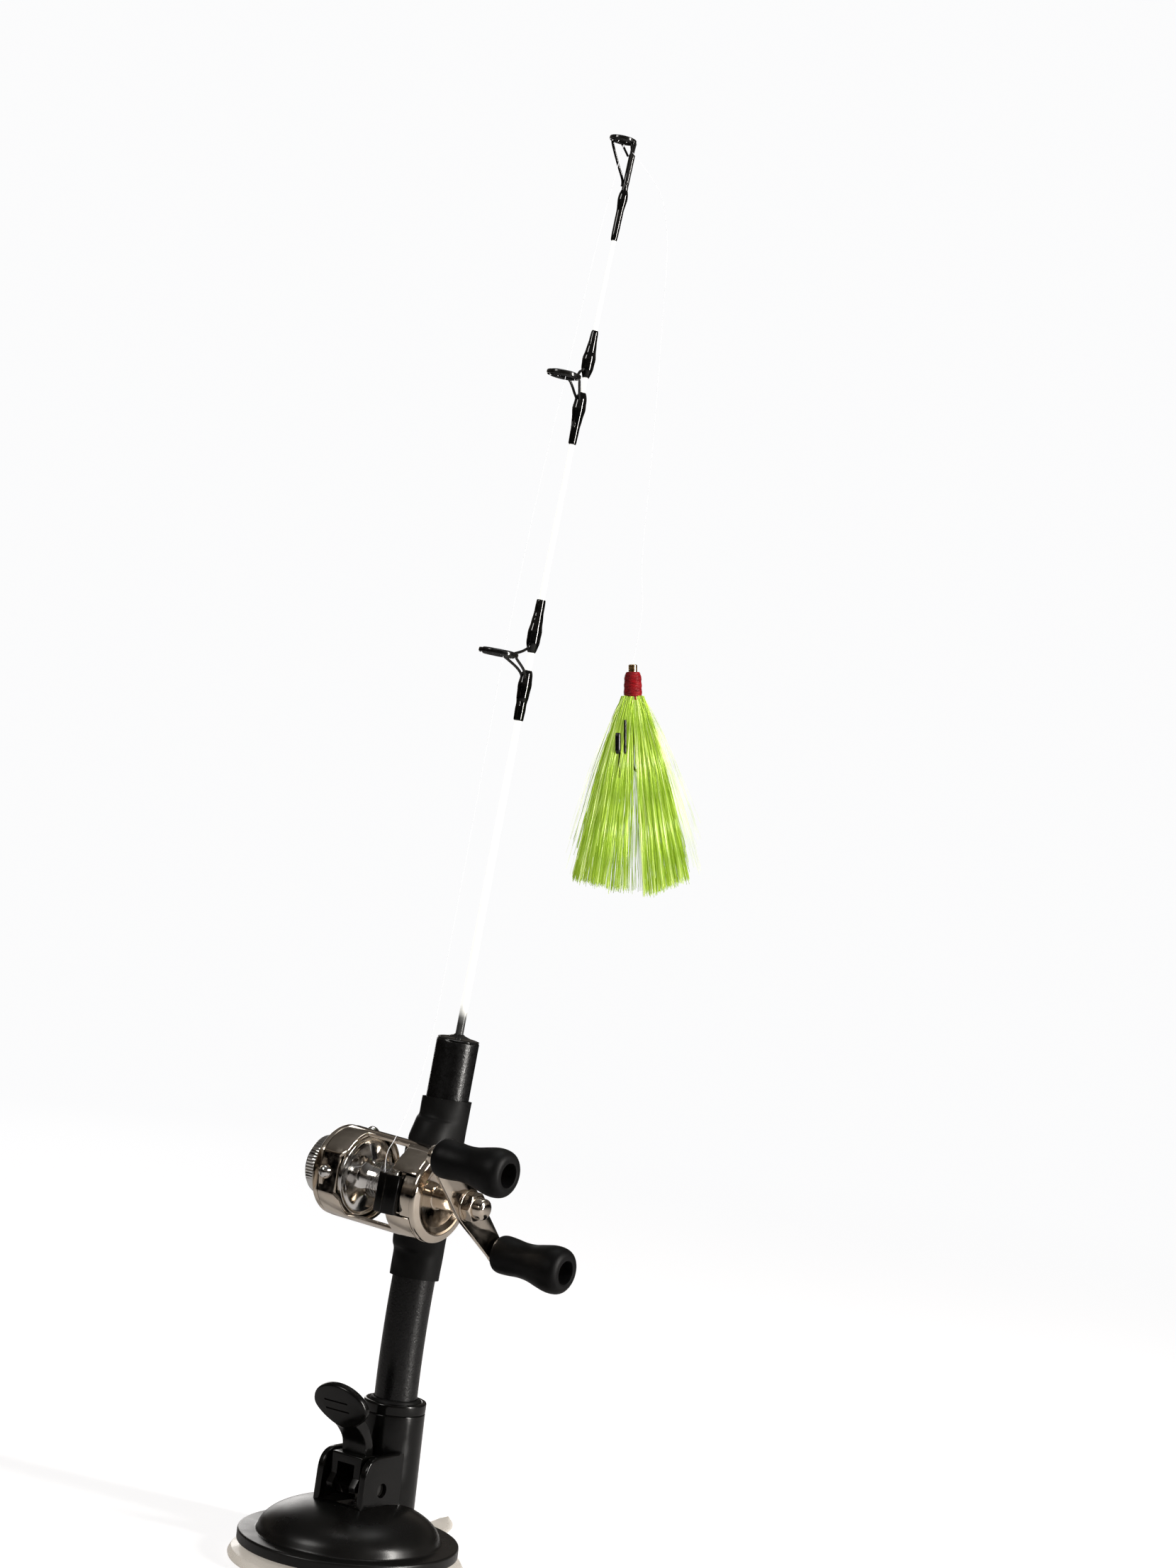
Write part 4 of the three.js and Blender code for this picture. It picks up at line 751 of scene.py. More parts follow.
def build_tip():
    ring_y, radius, wire = -6.0, 4.0, 0.4
    where = on_blank(TIP_TOP)
    band = turn(lathe("band", ring_band(radius, 0.6, 0.55), 80, True), shift(y=ring_y))
    sleeve = lathe("sleeve", rounded([
        (0, -2.4), (0.92, -2.4, 0.4), (0.92, -15.2, 0.1), (0.62, -15.2), (0.62, -4.4), (0, -4.4)]), 32)
    parts = [band, sleeve]
    parts.append(tube("stay", [(0, -0.4, -3), (0, -0.7, -1.4), (0, -1.3, -0.3),
                               (0, ring_y + radius - 0.2, 0)], wire))
    for side in (-1, 1):
        parts.append(tube("leg", [(side * (radius - 0.2), ring_y, 0), (side * 3.5, ring_y + 0.5, -1.6),
                                  (side * 2.2, -3.4, -6), (side * 0.85, -1.1, -10.4),
                                  (side * 0.7, -0.75, -12.4)], wire))
        parts.append(tube("rear_leg", [(side * 2.6, ring_y + 3, 0), (side * 1.9, -2.2, -1.2),
                                       (side * 0.75, -0.8, -3.4)], wire * 0.85))
    place(join("tip_top_frame", parts), where, "rod", "wire")
    insert = lathe("tip_ring", [
        (radius - 1.08 + 0.46 * math.cos(a), 0.75 * math.sin(a)) for a in turns(24)], 80, True)
    place(turn(insert, shift(y=ring_y)), where, "rod", "ceramic")
    wrap = smooth_profile([(0.8, -28.6), (0.95, -28.2), (1.05, -26), (1.08, -22), (1.1, -19.4), (1.3, -17.6),
                           (1.45, -16.2), (1.35, -14.8), (1.1, -13.8), (0.98, -13.5)], 6)
    place(lathe("tip_wrap", list(wrap) + [(0.93, -13.5), (0.93, -15.3), (0.7, -15.4), (0.7, -28.6)], 36,
                True), where, "rod", "epoxy")


# ---------------------------------------------------------------- reel seat

FOOT_HALF = 19.5


def foot_rise(away):
    return min(max(0.9 + (FOOT_HALF - away) * 0.25, 0.9), 3.4)


def build_foot():
    spread = math.radians(38)
    inner = HANDLE_RADIUS + 0.3
    rings = []
    for row in range(41):
        away = FOOT_HALF * (row / 20 - 1)
        outer = inner + foot_rise(abs(away))
        low = [(inner, -spread + 2 * spread * i / 12) for i in range(13)]
        high = [(outer, spread * 0.92 - 2 * 0.92 * spread * i / 12) for i in range(13)]
        rings.append([Vector((r * math.sin(a), -r * math.cos(a), REEL_UP + away)) for r, a in low + high])
    foot = skin("reel_foot", rings)
    drum = lathe("drum", [(0, -20), (13.55, -20), (13.55, 20), (0, 20)], 96)
    turn(drum, shift(y=-REEL_FORWARD, z=REEL_UP) @ ALONG_X)
    place(combine(foot, [drum], "DIFFERENCE"), ROD, "rod", "nickel", 30)


def build_sleeve(name, rows, thickness, slant, seed):
    """A shrunk rubber sleeve: rows are (height, bulge over the foot). Its last edge is cut slanted."""
    chance = random.Random(seed)
    phases = [chance.uniform(0, 6.3) for _ in range(4)]
    path = smooth_profile(rows, 6)
    sides = 96
    outer = []
    inner = []
    for n, (z, bulge) in enumerate(path):
        share = n / (len(path) - 1)
        ring = []
        wall = []
        for i in range(sides):
            angle = 2 * math.pi * i / sides
            forward = max(0, -math.sin(angle)) ** 2.4
            soft = 0.1 * math.sin(2 * angle + phases[0]) * math.sin(0.5 * z + phases[1])
            soft += 0.05 * math.sin(5 * angle + phases[2] + 0.8 * z)
            r = HANDLE_RADIUS + 0.3 + thickness + bulge * forward + soft * (0.3 + forward)
            edge = slant * math.cos(angle + phases[3]) * max(0, share - 0.7) / 0.3
            ring.append(Vector((r * math.cos(angle), r * math.sin(angle), z + edge)))
            under = r - thickness if share in (0, 1) or bulge > 0.5 else HANDLE_RADIUS + 0.16
            wall.append(Vector((under * math.cos(angle), under * math.sin(angle), z + edge)))
        outer.append(ring)
        inner.append(wall)
    place(skin(name, outer + inner[::-1], False), ROD, "rod", "shrink", 50)


def build_seat():
    build_foot()
    build_sleeve("upper_sleeve", [(76.6, 3.7), (78, 3.55), (80.4, 2.9), (82.6, 2.1), (83.4, 1.5), (84.2, 0.5),
                                  (86, 0.15), (89.6, 0)], 0.65, 0.5, "upper")
    build_sleeve("lower_sleeve", [(53.4, 3.9), (52, 3.6), (49.6, 2.8), (47, 2.2), (45.6, 1.6), (44.4, 0.6),
                                  (42.6, 0.15), (36.4, 0)], 0.7, 0.45, "lower")


# ---------------------------------------------------------------- reel

DRUM = 13.4
DRUM_LEFT, DRUM_RIGHT = -15.2, 18.6
LUG_DEPTH = 11.9  # the flat on the drum's front stands this far from the axis
COVER_END = 20.9
# Angles about the reel's axis are in degrees, up from the front.


def at_angle(radius, degrees, x):
    a = math.radians(degrees)
    return Vector((x, -radius * math.cos(a), radius * math.sin(a)))


def between(value, stops):
    """Straight lines through (position, value) stops."""
    if value <= stops[0][0]:
        return stops[0][1]
    for (a, low), (b, high) in zip(stops, stops[1:]):
        if value <= b:
            return low + (high - low) * (value - a) / (b - a)
    return stops[-1][1]


FRONT_TOP, FRONT_BOTTOM = 75, -59
BACK_TOP, BACK_BOTTOM = 97, 263  # the open back, either side of the stem
STEM_HALF = 24


def build_frame():
    """The diecast frame: a drum wall with a front window, open sides at the back and a notch for the key."""
    step = 2.0
    wall = 1.3
    degrees = [FRONT_BOTTOM + step * i for i in range(int(360 / step))]
    rows = []
    for angle in degrees:
        turned = angle if angle <= 180 else angle - 360
        in_front = FRONT_BOTTOM <= turned <= FRONT_TOP
        in_back = BACK_TOP <= angle <= 180 - STEM_HALF or 180 + STEM_HALF <= angle <= BACK_BOTTOM
        left = between(abs(turned), [(25, -9.2), (32, -7.4), (80, -6.9)]) if in_front else -6
        right = between(abs(turned), [(56, 10), (66, 9.2), (74, 8)]) if in_front else 9
        notch = -29 <= turned <= 27
        flat = LUG_DEPTH / math.cos(math.radians(turned)) if abs(turned) < 60 else DRUM
        rows.append((angle, left, right, in_front or in_back, notch, min(DRUM, flat)))
    verts = []
    for angle, left, right, _, _, radius in rows:
        for x, r in ((DRUM_LEFT, radius), (left, radius), (right, DRUM), (DRUM_RIGHT, DRUM)):
            verts.append(at_angle(r, angle, x))
        for x in (DRUM_RIGHT, right, left, DRUM_LEFT):
            verts.append(at_angle((radius if x in (left, DRUM_LEFT) else DRUM) - wall, angle, x))
    faces = []
    count = len(rows)

    def strips(row):
        """Which of left, middle and right strips are solid in the cell after this row."""
        after = rows[(row + 1) % count]
        here = rows[row]
        return True, not (here[3] and after[3]), not (here[4] and after[4])

    for n in range(count):
        k = (n + 1) % count
        solid = strips(n)
        previous = strips(n - 1)
        for strip in range(3):
            outer_a, outer_b = strip, strip + 1
            inner_a, inner_b = 7 - strip, 6 - strip
            if solid[strip]:
                faces.append([n * 8 + outer_a, n * 8 + outer_b, k * 8 + outer_b, k * 8 + outer_a])
                faces.append([n * 8 + inner_a, k * 8 + inner_a, k * 8 + inner_b, n * 8 + inner_b])
            if solid[strip] != previous[strip]:
                faces.append([n * 8 + outer_a, n * 8 + outer_b, n * 8 + inner_b, n * 8 + inner_a])
        for column in range(4):
            on_left = column > 0 and solid[column - 1]
            on_right = column < 3 and solid[column]
            if on_left != on_right:
                faces.append([n * 8 + column, k * 8 + column, k * 8 + 7 - column, n * 8 + 7 - column])
    frame_piece = new_object("reel_frame", verts, faces)
    soften(frame_piece, 0.28, 3, 45)
    combine(frame_piece, [])
    walls = [turn(lathe("wall", rounded([(3.3, x), (DRUM - 0.9, x), (DRUM - 0.9, x + 1.4), (3.3, x + 1.4)],
                                        3, True),
                        96, True), ALONG_X) for x in (DRUM_LEFT + 0.1, 13.2)]
    key_room = turn(prism("key_room", [(-20, -7.2), (-20, 5.8), (-11.2, 5.8), (-11.2, -7.2)], 12.5, 15.2,
                          0), ALONG_X)
    combine(walls[1], [key_room], "DIFFERENCE")
    boss = turn(prism("boss", [(-11.7, -6), (-11.7, 6), (-9.4, 6.8), (-9.4, -6.8)], -15, -9.6, 0.2), ALONG_X)
    walls.append(boss)
    place(join("reel_frame", [frame_piece] + walls), REEL, "rod", "nickel", 34)


def build_side():
    cap = lathe("left_side_cap", rounded([
        (3.3, DRUM_LEFT - 1.7), (10.2, DRUM_LEFT - 1.7), (10.2, DRUM_LEFT - 0.3),
        (DRUM - 0.25, DRUM_LEFT - 0.3, 0.15),
        (DRUM - 0.1, DRUM_LEFT - 1.7, 0.6), (DRUM - 1.4, -18.1, 1.5), (DRUM - 3.4, -18.6, 0.6),
        (3.3, -18.6)], 5, True),
        128, True)
    turn(cap, ALONG_X)
    flat = turn(prism("flat", [(-18, -7), (-11.8, -7), (-11.8, 7), (-18, 7)], -16.6, -10, 0), ALONG_X)
    place(combine(cap, [flat], "DIFFERENCE"), REEL, "rod", "nickel", 34)

    seats = [("front", 0, LUG_DEPTH + 0.1), ("top", 120, DRUM), ("bottom", 240, DRUM)]
    for label, degrees, seat in seats:
        head = smooth_profile([(0, 1.75), (0.9, 1.62), (1.6, 1.15), (1.95, 0.4), (1.95, 0.1), (0.7, 0.1)], 5)
        screw = lathe(f"side_screw_{label}", list(head) + [(0.7, -2.4), (0, -2.6)], 40)
        arms = [prism("arm", [(-a, -b), (a, -b), (a, b), (-a, b)], 1.1, 3, 0) for a,
                b in ((1.05, 0.2), (0.2, 1.05))]
        combine(screw, [combine(arms[0], [arms[1]])], "DIFFERENCE")
        out = Matrix.Rotation(math.radians(-degrees), 4, "X") @ Matrix.Rotation(math.radians(90), 4, "X")
        turn(screw, shift(x=-13.6) @ out @ shift(z=seat))
        place(screw, REEL, "rod", "chrome")


def build_tension_knob():
    teeth = 60
    left, right, radius = -24.2, -19.4, 8.6

    def knurled(angle, r, h):
        return r + 0.11 * math.cos(teeth * angle) if r > radius - 0.05 and left + 0.6 < h < right - 1.3 else r

    knob = lathe("tension_knob", rounded([
        (0, left - 1.75), (5.2, left - 1.75, 0.5), (6.2, left - 1.1, 0.5), (6.4, left, 0.2), (8.1, left, 0.3),
        (radius, left + 0.6), (radius, left + 0.7), (radius, right - 1.4), (radius, right - 1.2),
        (radius + 0.3, right - 1, 0.1), (radius + 0.3, right, 0.2), (2.9, right), (2.9, left + 1),
        (0, left + 1)], 4),
        teeth * 6, False, knurled)
    place(turn(knob, ALONG_X), REEL, "tension", "chrome")


def build_spool():
    arbor, rim = 4.7, 11.6

    def flange(x, way):
        """A dished flange from the shaft round its rim to the arbor, its hollow face towards the line."""
        face = smooth_profile([(11.1, x + way * 0.35), (10.4, x + way * 0.5), (9, x + way * 0.25),
                               (7, x - way * 0.6), (5.5, x - way * 1.7), (arbor, x - way * 3.1)], 5)
        back = rounded([(3, x + way * 1.1), (9.8, x + way * 1.5), (10.6, x + way * 1.75),
                        (rim, x + way * 1.75, 0.5),
                        (rim, x + way * 0.25, 0.4), (11.1, x + way * 0.35)], 5)
        return back[:-1] + face

    profile = [(0, -20.8), (1.25, -20.8), (1.25, -8)] + flange(-7.3, -1) + flange(9.9, 1)[::-1]
    profile += [(1.25, 11), (1.25, 16.4), (0, 16.4)]
    place(turn(lathe("spool", profile, 128), ALONG_X), REEL, "spool", "spool")


def build_line_coils():
    """A few untidy layers of line wound back and forth on the arbor, with some loose loops."""
    chance = random.Random(7)
    points = []
    for i in range(9 * 12):
        t = i / 12
        sweep = abs((t / 9) % 2 - 1)
        x = -3.6 + 6.8 * sweep + chance.uniform(-0.15, 0.15)
        r = 4.86 + 0.01 * t + chance.uniform(0, 0.2)
        points.append((x, r * math.cos(2 * math.pi * t), r * math.sin(2 * math.pi * t)))
    coils = [tube("coil", points, 0.07, 5, 2)]
    for _ in range(6):
        start = chance.uniform(0, 6.3)
        lift = chance.uniform(0.2, 0.7)
        x = chance.uniform(-3, 2.5)
        loop = [(x + 1.2 * math.sin(3 * a + start), (5.15 + lift * math.sin(a) ** 2) * math.cos(a + start),
                 (5.15 + lift * math.sin(a) ** 2) * math.sin(a + start)) for a in
                [math.pi * 1.3 * k / 9 for k in range(10)]]
        coils.append(tube("loop", loop, 0.08, 5, 3))
    place(join("line_coils", coils), REEL, "spool", "wound", 60)


def build_cover():
    start = DRUM_RIGHT + 0.25
    cup = turn(lathe("gear_cover", rounded([
        (2.9, start - 1.4), (11.4, start - 1.4), (11.4, start), (DRUM - 0.1, start, 0.2),
        (DRUM - 0.1, 20.3, 1.1),
        (10.8, COVER_END + 0.1, 1), (10, COVER_END - 0.1, 0.4), (8.6, 19.9, 1.6), (3.3, 18.9, 0.7),
        (3.2, 28, 0.3), (2.9, 28)], 8, True), 160, True), ALONG_X)
    tongue = []
    for angle in [-27 + 51 * i / 20 for i in range(21)]:
        tongue.append([at_angle(r, angle, x) for x, r in
                       ((15.2, 11.6), (15.2, DRUM - 0.5), (15.5, DRUM - 0.2), (start + 0.4, DRUM - 0.2),
                        (start + 0.4, 11.6))])
    cover = join("gear_cover", [cup, skin("tongue", tongue)])
    place(cover, REEL, "rod", "nickel", 34)


def build_thumb_key():
    plan = rounded([(7.6, -12.9, 0.1), (7.6, -14.3, 0.4), (10.7, -15.1, 0.5), (11.3, -15.5, 0.3),
                    (12, -15.1, 0.4),
                    (14.7, -14.3, 0.5), (15, -12.9, 0.1)], 4, True)
    key = prism("thumb_key", plan, -6.3, 4.8, 0.4)
    post = prism("post", [(11.3, -13.2), (12.7, -13.2), (12.7, -9.3), (11.3, -9.3)], -2.6, 1.4, 0.1)
    place(combine(key, [post]), REEL, "thumb", "gloss")


# ---------------------------------------------------------------- crank

ARM_X = 29.4
ARM_THICK = 1.3
ARM_HALF = 23.0
ARM_RISE = math.radians(37.3)


def build_crank():
    hub, end = 5.1, 3.3
    outline = arc((ARM_HALF, 0), end, -90, 90, 12)
    outline += smooth_profile([(ARM_HALF - 2, end + 0.05), (ARM_HALF * 0.4, hub - 0.7), (0, hub),
                               (-ARM_HALF * 0.4, hub - 0.7), (2 - ARM_HALF, end + 0.05)], 4)
    outline += arc((-ARM_HALF, 0), end, 90, 270, 12)
    outline += smooth_profile([(2 - ARM_HALF, -end - 0.05), (-ARM_HALF * 0.4, 0.7 - hub), (0, -hub),
                               (ARM_HALF * 0.4, 0.7 - hub), (ARM_HALF - 2, -end - 0.05)], 4)
    arm = prism("crank_arm", outline, ARM_X - ARM_THICK / 2, ARM_X + ARM_THICK / 2, 0.28)
    holes = [turn(lathe("hole", [(0, 20), (1.6, 20), (1.6, 40), (0, 40)], 32),
                  shift(x=s * ARM_HALF)) for s in (-1, 1)]
    holes.append(lathe("hub_hole", [(0, 20), (1.75, 20), (1.75, 40), (0, 40)], 32))
    combine(arm, holes, "DIFFERENCE")
    turn(arm, Matrix.Rotation(math.pi - ARM_RISE, 4, "X") @ ALONG_X)
    place(arm, REEL, "crank", "nickel")

    face = ARM_X + ARM_THICK / 2 + 0.5
    washer = turn(lathe("crank_washer", rounded([
        (1.8, face - 0.45), (4.6, face - 0.45, 0.15), (4.6, face - 0.05, 0.15), (1.8, face - 0.05)], 3, True),
        64, True), ALONG_X)
    place(washer, REEL, "crank", "nickel")
    shaft = turn(lathe("crank_shaft", [
        (0, 16.9), (1.4, 16.9), (1.4, 16.5), (3, 16.5), (3, 17.1), (2, 17.1), (2, 28.5), (1.6, 28.5),
        (1.6, 34.3),
        (0, 34.4)], 40), ALONG_X)
    place(shaft, REEL, "crank", "steel")

    corners = [(4.3 * math.cos(a), 4.3 * math.sin(a)) for a in turns(6)]
    hexagon = prism("acorn_nut", corners, face, face + 2.8, 0.12)
    chamfer = lathe("chamfer",
                    [(0, face - 1), (4.05, face - 1), (4.05, face), (4.4, face + 0.4), (4.4, face + 2.3),
                                (3.6, face + 2.81), (0, face + 2.81)], 72)
    combine(hexagon, [chamfer], "INTERSECT")
    dome = lathe("dome", [(0, face + 2)] + rounded([(3.1, face + 2), (3.1, face + 3.4),
                                                    (3.0, face + 5.3, 0.9),
                                                    (1.9, face + 6, 1.2), (0, face + 6.2)], 6), 64)
    bore = lathe("bore", [(0, face - 1), (1.7, face - 1), (1.7, 34.5), (0, 34.5)], 32)
    combine(combine(hexagon, [dome]), [bore], "DIFFERENCE")
    turn(hexagon, Matrix.Rotation(math.radians(12), 4, "X") @ ALONG_X)
    place(hexagon, REEL, "crank", "nickel")


def build_knob(letter, side):
    """A waisted soft grip on its shouldered rivet."""
    y = -side * ARM_HALF * math.cos(ARM_RISE)
    z = side * ARM_HALF * math.sin(ARM_RISE)
    where = REEL @ shift(y=y, z=z) @ ALONG_X
    face = ARM_X + ARM_THICK / 2
    start = face + 0.5
    skin_line = smooth_profile([(4.1, start), (5.1, start + 0.5), (5.55, start + 2), (5.45, start + 5),
                                (5.15, start + 8.6), (5.35, start + 12), (6.1, start + 15.4),
                                (6.75, start + 18.6),
                                (6.8, start + 21), (6.3, start + 22.8), (5.2, start + 23.8),
                                (4, start + 24)], 6)
    hole = [(3.5, start + 23.85), (3.3, start + 23.4), (3.25, start + 16), (1.9, start + 16), (1.9, start)]
    place(lathe(f"crank_knob_{letter}", list(skin_line) + hole, 80, True), where, f"knob_{letter}", "knob")
    back = ARM_X - ARM_THICK / 2
    rivet = lathe(f"knob_rivet_{letter}", rounded([
        (0, back - 1.25), (2, back - 1.2, 0.6), (2.9, back - 0.6, 0.3), (2.9, back - 0.05),
        (1.5, back - 0.05),
        (1.5, face), (1.8, start - 0.3), (1.8, start + 16.1), (2.7, start + 16.1), (2.7, start + 17, 0.3),
        (0, start + 17)], 4), 48)
    place(rivet, where, "crank", "nickel")


# ---------------------------------------------------------------- line and jig

def build_line():
    tip = blank_centre(TIP_TOP) + Vector((0, -5.2, -1))
    route = [(3.3, -REEL_FORWARD - 5.4, REEL_UP + 2), (3.3, -28.2, 71), (3.3, -28, 74.6), (3.1, -25.4, 78.4),
             (2.3, -20, 88.7), (1.5, -16.4, 98.4), (0.9, -14.2, 110), (0.4, -13.1, 125), (0.1, -12.9, 200),
             (0.1, -13, LOW_GUIDE), (0.5, -11.6, 270), (0.9, -9.2, MID_GUIDE), (1.5, -6.9, 345), tuple(tip)]
    place(tube("fishing_line", route, 0.075, 6, 10), ROD, "rod", "line")

    across = (JIG_POINT - TIP_POINT).dot(LEAN_WAY) / MM
    drop = (TIP_POINT - JIG_POINT).z / MM
    hang = axes_matrix(LEAN_WAY, LEAN_SIDE, Vector((0, 0, 1)), TIP_POINT)
    leader = [(0, 1.6), (3.2, 3.2), (12.4, 13.8), (15.4, 23.2), (16.6, 31.5), (17.4, 48), (18.8, 88),
              (19.4, 121),
              (21.1, 135.2), (20.9, 143.6), (across, drop)]
    route = [(a, 0, -d) for a, d in leader]
    place(tube("leader_line", route, 0.06, 6, 8), hang, "leader", "line")


JIG_TILT = math.radians(6.5)


def build_jig_head(where):
    tube_piece = lathe("jig_tube", rounded([
        (0.8, -4.4), (1.28, -4.4), (1.28, -0.25, 0.2), (0.95, -0.1, 0.1), (0.8, -0.3)], 4, True), 40, True)
    place(tube_piece, where, "jig", "brass")

    def wound(angle, r, h):
        return r + 0.07 * math.sin(angle + 2 * math.pi * h / 0.42) if r > 1.9 else r

    body = smooth_profile([(1.45, -2.3), (1.95, -2.4), (2.35, -3.3), (2.55, -4.2), (2.5, -5.2), (2.66, -6.2),
                           (2.58, -7.2), (2.72, -8.2), (2.62, -9), (2.3, -9.5), (1.45, -9.5)], 12)
    thread = lathe("thread", body, 56, True, wound)
    tail = tube("tail", [(0.6, -1.9, -8.8), (0.7, -2.2, -9.6), (0.75, -2.4, -10.5)], 0.3, 10, 5)
    place(join("jig_thread", [thread, tail]), where, "jig", "thread")


SKIRT_TOP = 9.3
HAIRS = 1250
STRAYS = 46
SKIRT_REACH = 17.8  # how far the longest hairs spread from the thread's axis


def hair_end(chance):
    """Where a hair ends: across, in depth and down. Two full locks stand either side of a thin gap."""
    lock = chance.random()
    if lock < 0.41:
        across = -chance.uniform(7.2, SKIRT_REACH)
        down = 65.2 - 0.27 * (abs(across) - 7.2)
    elif lock < 0.51:
        across = -chance.uniform(1.5, 7.2)
        down = 65.8
    elif lock < 0.53:
        across = chance.uniform(-1.5, 3)
        down = 66
    else:
        across = chance.uniform(3, 16.6)
        down = 66.9 - 0.42 * max(0, across - 6)
    depth = 6.2 * math.sqrt(max(0.04, 1 - (across / 19) ** 2)) * chance.uniform(-1, 1)
    shorter = chance.uniform(2, 12) if chance.random() < 0.12 else 0
    return across, depth, down + chance.gauss(0, 0.7) - shorter


def hair(chance, across, depth, down):
    """One hair from the thread to its end: it leaves steeply, bows outwards and wavers a little."""
    crimp = chance.uniform(0, 6.3)
    sway = chance.gauss(0, 0.3)
    root = (0.13 * across + chance.gauss(0, 0.45), 0.3 * depth + chance.gauss(0, 0.3))
    steps = 10
    points = []
    for k in range(steps + 1):
        t = k / steps
        out = t ** 0.82
        bow = math.sin(math.pi * t)
        x = root[0] + (across - root[0]) * out + (sway + 0.16 * math.sin(11 * t + crimp)) * bow
        y = root[1] + (depth - root[1]) * out + 0.16 * math.cos(9 * t + crimp) * bow
        points.append(Vector((x, y, -SKIRT_TOP - (down - SKIRT_TOP) * t)))
    return points


def build_skirt(where):
    """Tinsel hairs in two locks with a gap between them, and a few fine stray ones."""
    chance = random.Random(21)
    verts = []
    faces = []
    tones = []

    def add(points, width, tone):
        first = len(verts)
        for n, p in enumerate(points):
            half = width * (1 - 0.5 * n / (len(points) - 1))
            for k in range(3):
                a = 2 * math.pi * k / 3 + 0.6 * n
                verts.append((p.x + half * math.cos(a), p.y + half * math.sin(a), p.z))
                tones.append(tone + 0.12 * math.sin(2.1 * n + first))
        for n in range(len(points) - 1):
            for k in range(3):
                m = (k + 1) % 3
                a = first + 3 * n
                faces.append([a + k, a + m, a + 3 + m, a + 3 + k])
        faces.append([first, first + 1, first + 2])
        last = first + 3 * (len(points) - 1)
        faces.append([last, last + 1, last + 2])

    for _ in range(HAIRS):
        across, depth, down = hair_end(chance)
        clump = 0.17 * math.sin(2.3 * across) + 0.12 * math.sin(5.9 * across + 1)
        # Painted light: one hair in twenty takes the near-white painted highlight tone, and hairs further
        # back in the skirt (larger depth) are painted darker as shade. The clump and the random spread are
        # the hair's own tone.
        bright = 0.95 if chance.random() < 0.05 else 0.42 + clump + chance.gauss(0, 0.13) - 0.02 * depth
        add(hair(chance, across, depth, down), chance.uniform(0.09, 0.15), min(1, max(0, bright)))
    for _ in range(STRAYS):
        side = chance.choice((-1, 1, 1))
        across = side * chance.uniform(15.5, 20)
        # Stray hairs take the pale end of the ramp, reaching up to its painted highlight colour.
        add(hair(chance, across, chance.uniform(-5, 5), chance.uniform(46, 62)), 0.05, chance.uniform(0.8, 1))
    skirt = new_object("jig_skirt", verts, faces)
    attribute = skirt.data.attributes.new("tone", "FLOAT", "POINT")
    attribute.data.foreach_set("value", tones)
    place(skirt, where, "jig", "hair", 80)


def build_hook(where):
    """The hook, and the split ring and swivel that hang inside the hair."""
    shank = tube("shank", [(0, 0, -4.8), (0, 0, -16), (0, 0, -27), (0.4, 0, -30.6), (2.6, 0, -31.8),
                           (4.4, 0, -29.6),
                           (4.4, 0, -26.6)], lambda t: 0.36 if t < 0.9 else 0.36 * (1 - (t - 0.9) * 9), 12, 8)
    bars = []
    for x, top, length, radius in ((-4.4, -20.2, 6.2, 0.85), (-2.3, -16.4, 10, 0.42)):
        bar = lathe("bar", rounded([(0, top), (radius * 0.8, top, 0.2), (radius, top - 1, 0.3),
                                    (radius, top - length + 1, 0.3), (radius * 0.6, top - length, 0.2),
                                    (0, top - length)]), 28)
        bars.append(turn(bar, shift(x=x, y=-3)))
    bars.append(tube("loop", [(-3.7, -2.8, -26), (-4, -3, -29), (-3.9, -3, -33.4)], 0.34, 10, 6))
    place(join("jig_hook", [shank] + bars), where, "jig", "wire")


def build_jig():
    where = axes_matrix(LEAN_WAY, LEAN_SIDE, Vector((0, 0, 1)), JIG_POINT) @ Matrix.Rotation(-JIG_TILT, 4,
                                                                                             "Y")
    build_jig_head(where)
    build_skirt(where)
    build_hook(where)


# ---------------------------------------------------------------- hidden pieces

HIDDEN = {
    "steel": ["pad_stem", "holder_screw_left", "holder_screw_right", "foot_rivet_low", "foot_rivet_high"],
    "brass": ["left_bushing", "crank_bushing", "clutch_plate"],
    "shrink": ["handle_end_plug", "blank_bushing"],
}


def finish_hidden():
    """The working pieces inside keep their CAD shape, and take a material and a small edge radius."""
    for look, nodes in HIDDEN.items():
        for name in nodes:
            node = frame["nodes"][name]
            node.data.materials.clear()
            node.data.materials.append(LOOKS[look][0])
            soften(node, 0.1 * MM)


# ---------------------------------------------------------------- stage, light and camera

BACKDROP = (0.97, 0.97, 0.975)
FLOOR_RINGS = (0, 0.3, 1, 2.5, 6.0)  # radii in metres
FLOOR_DROP = 0.0003  # metres below the pad, so that the two faces don't meet
FLOOR_GLOW = 0.74  # how much the floor glows for the camera, against the backdrop
FADE_START, FADE_END = 0.12, 1.1  # metres from the middle, where the floor turns into the backdrop
ROOM_STRENGTH = 0.5
ROOM = [(0.0, (0.05, 0.045, 0.04)), (0.34, (0.1, 0.085, 0.07)), (0.45, (0.3, 0.25, 0.2)),
        (0.5, (0.03, 0.024, 0.02)), (0.57, (0.05, 0.04, 0.032)), (0.64, (0.34, 0.3, 0.26)),
        (0.76, (0.1, 0.09, 0.08)), (1.0, (0.3, 0.29, 0.28))]  # (height, colour) of what the metal reflects


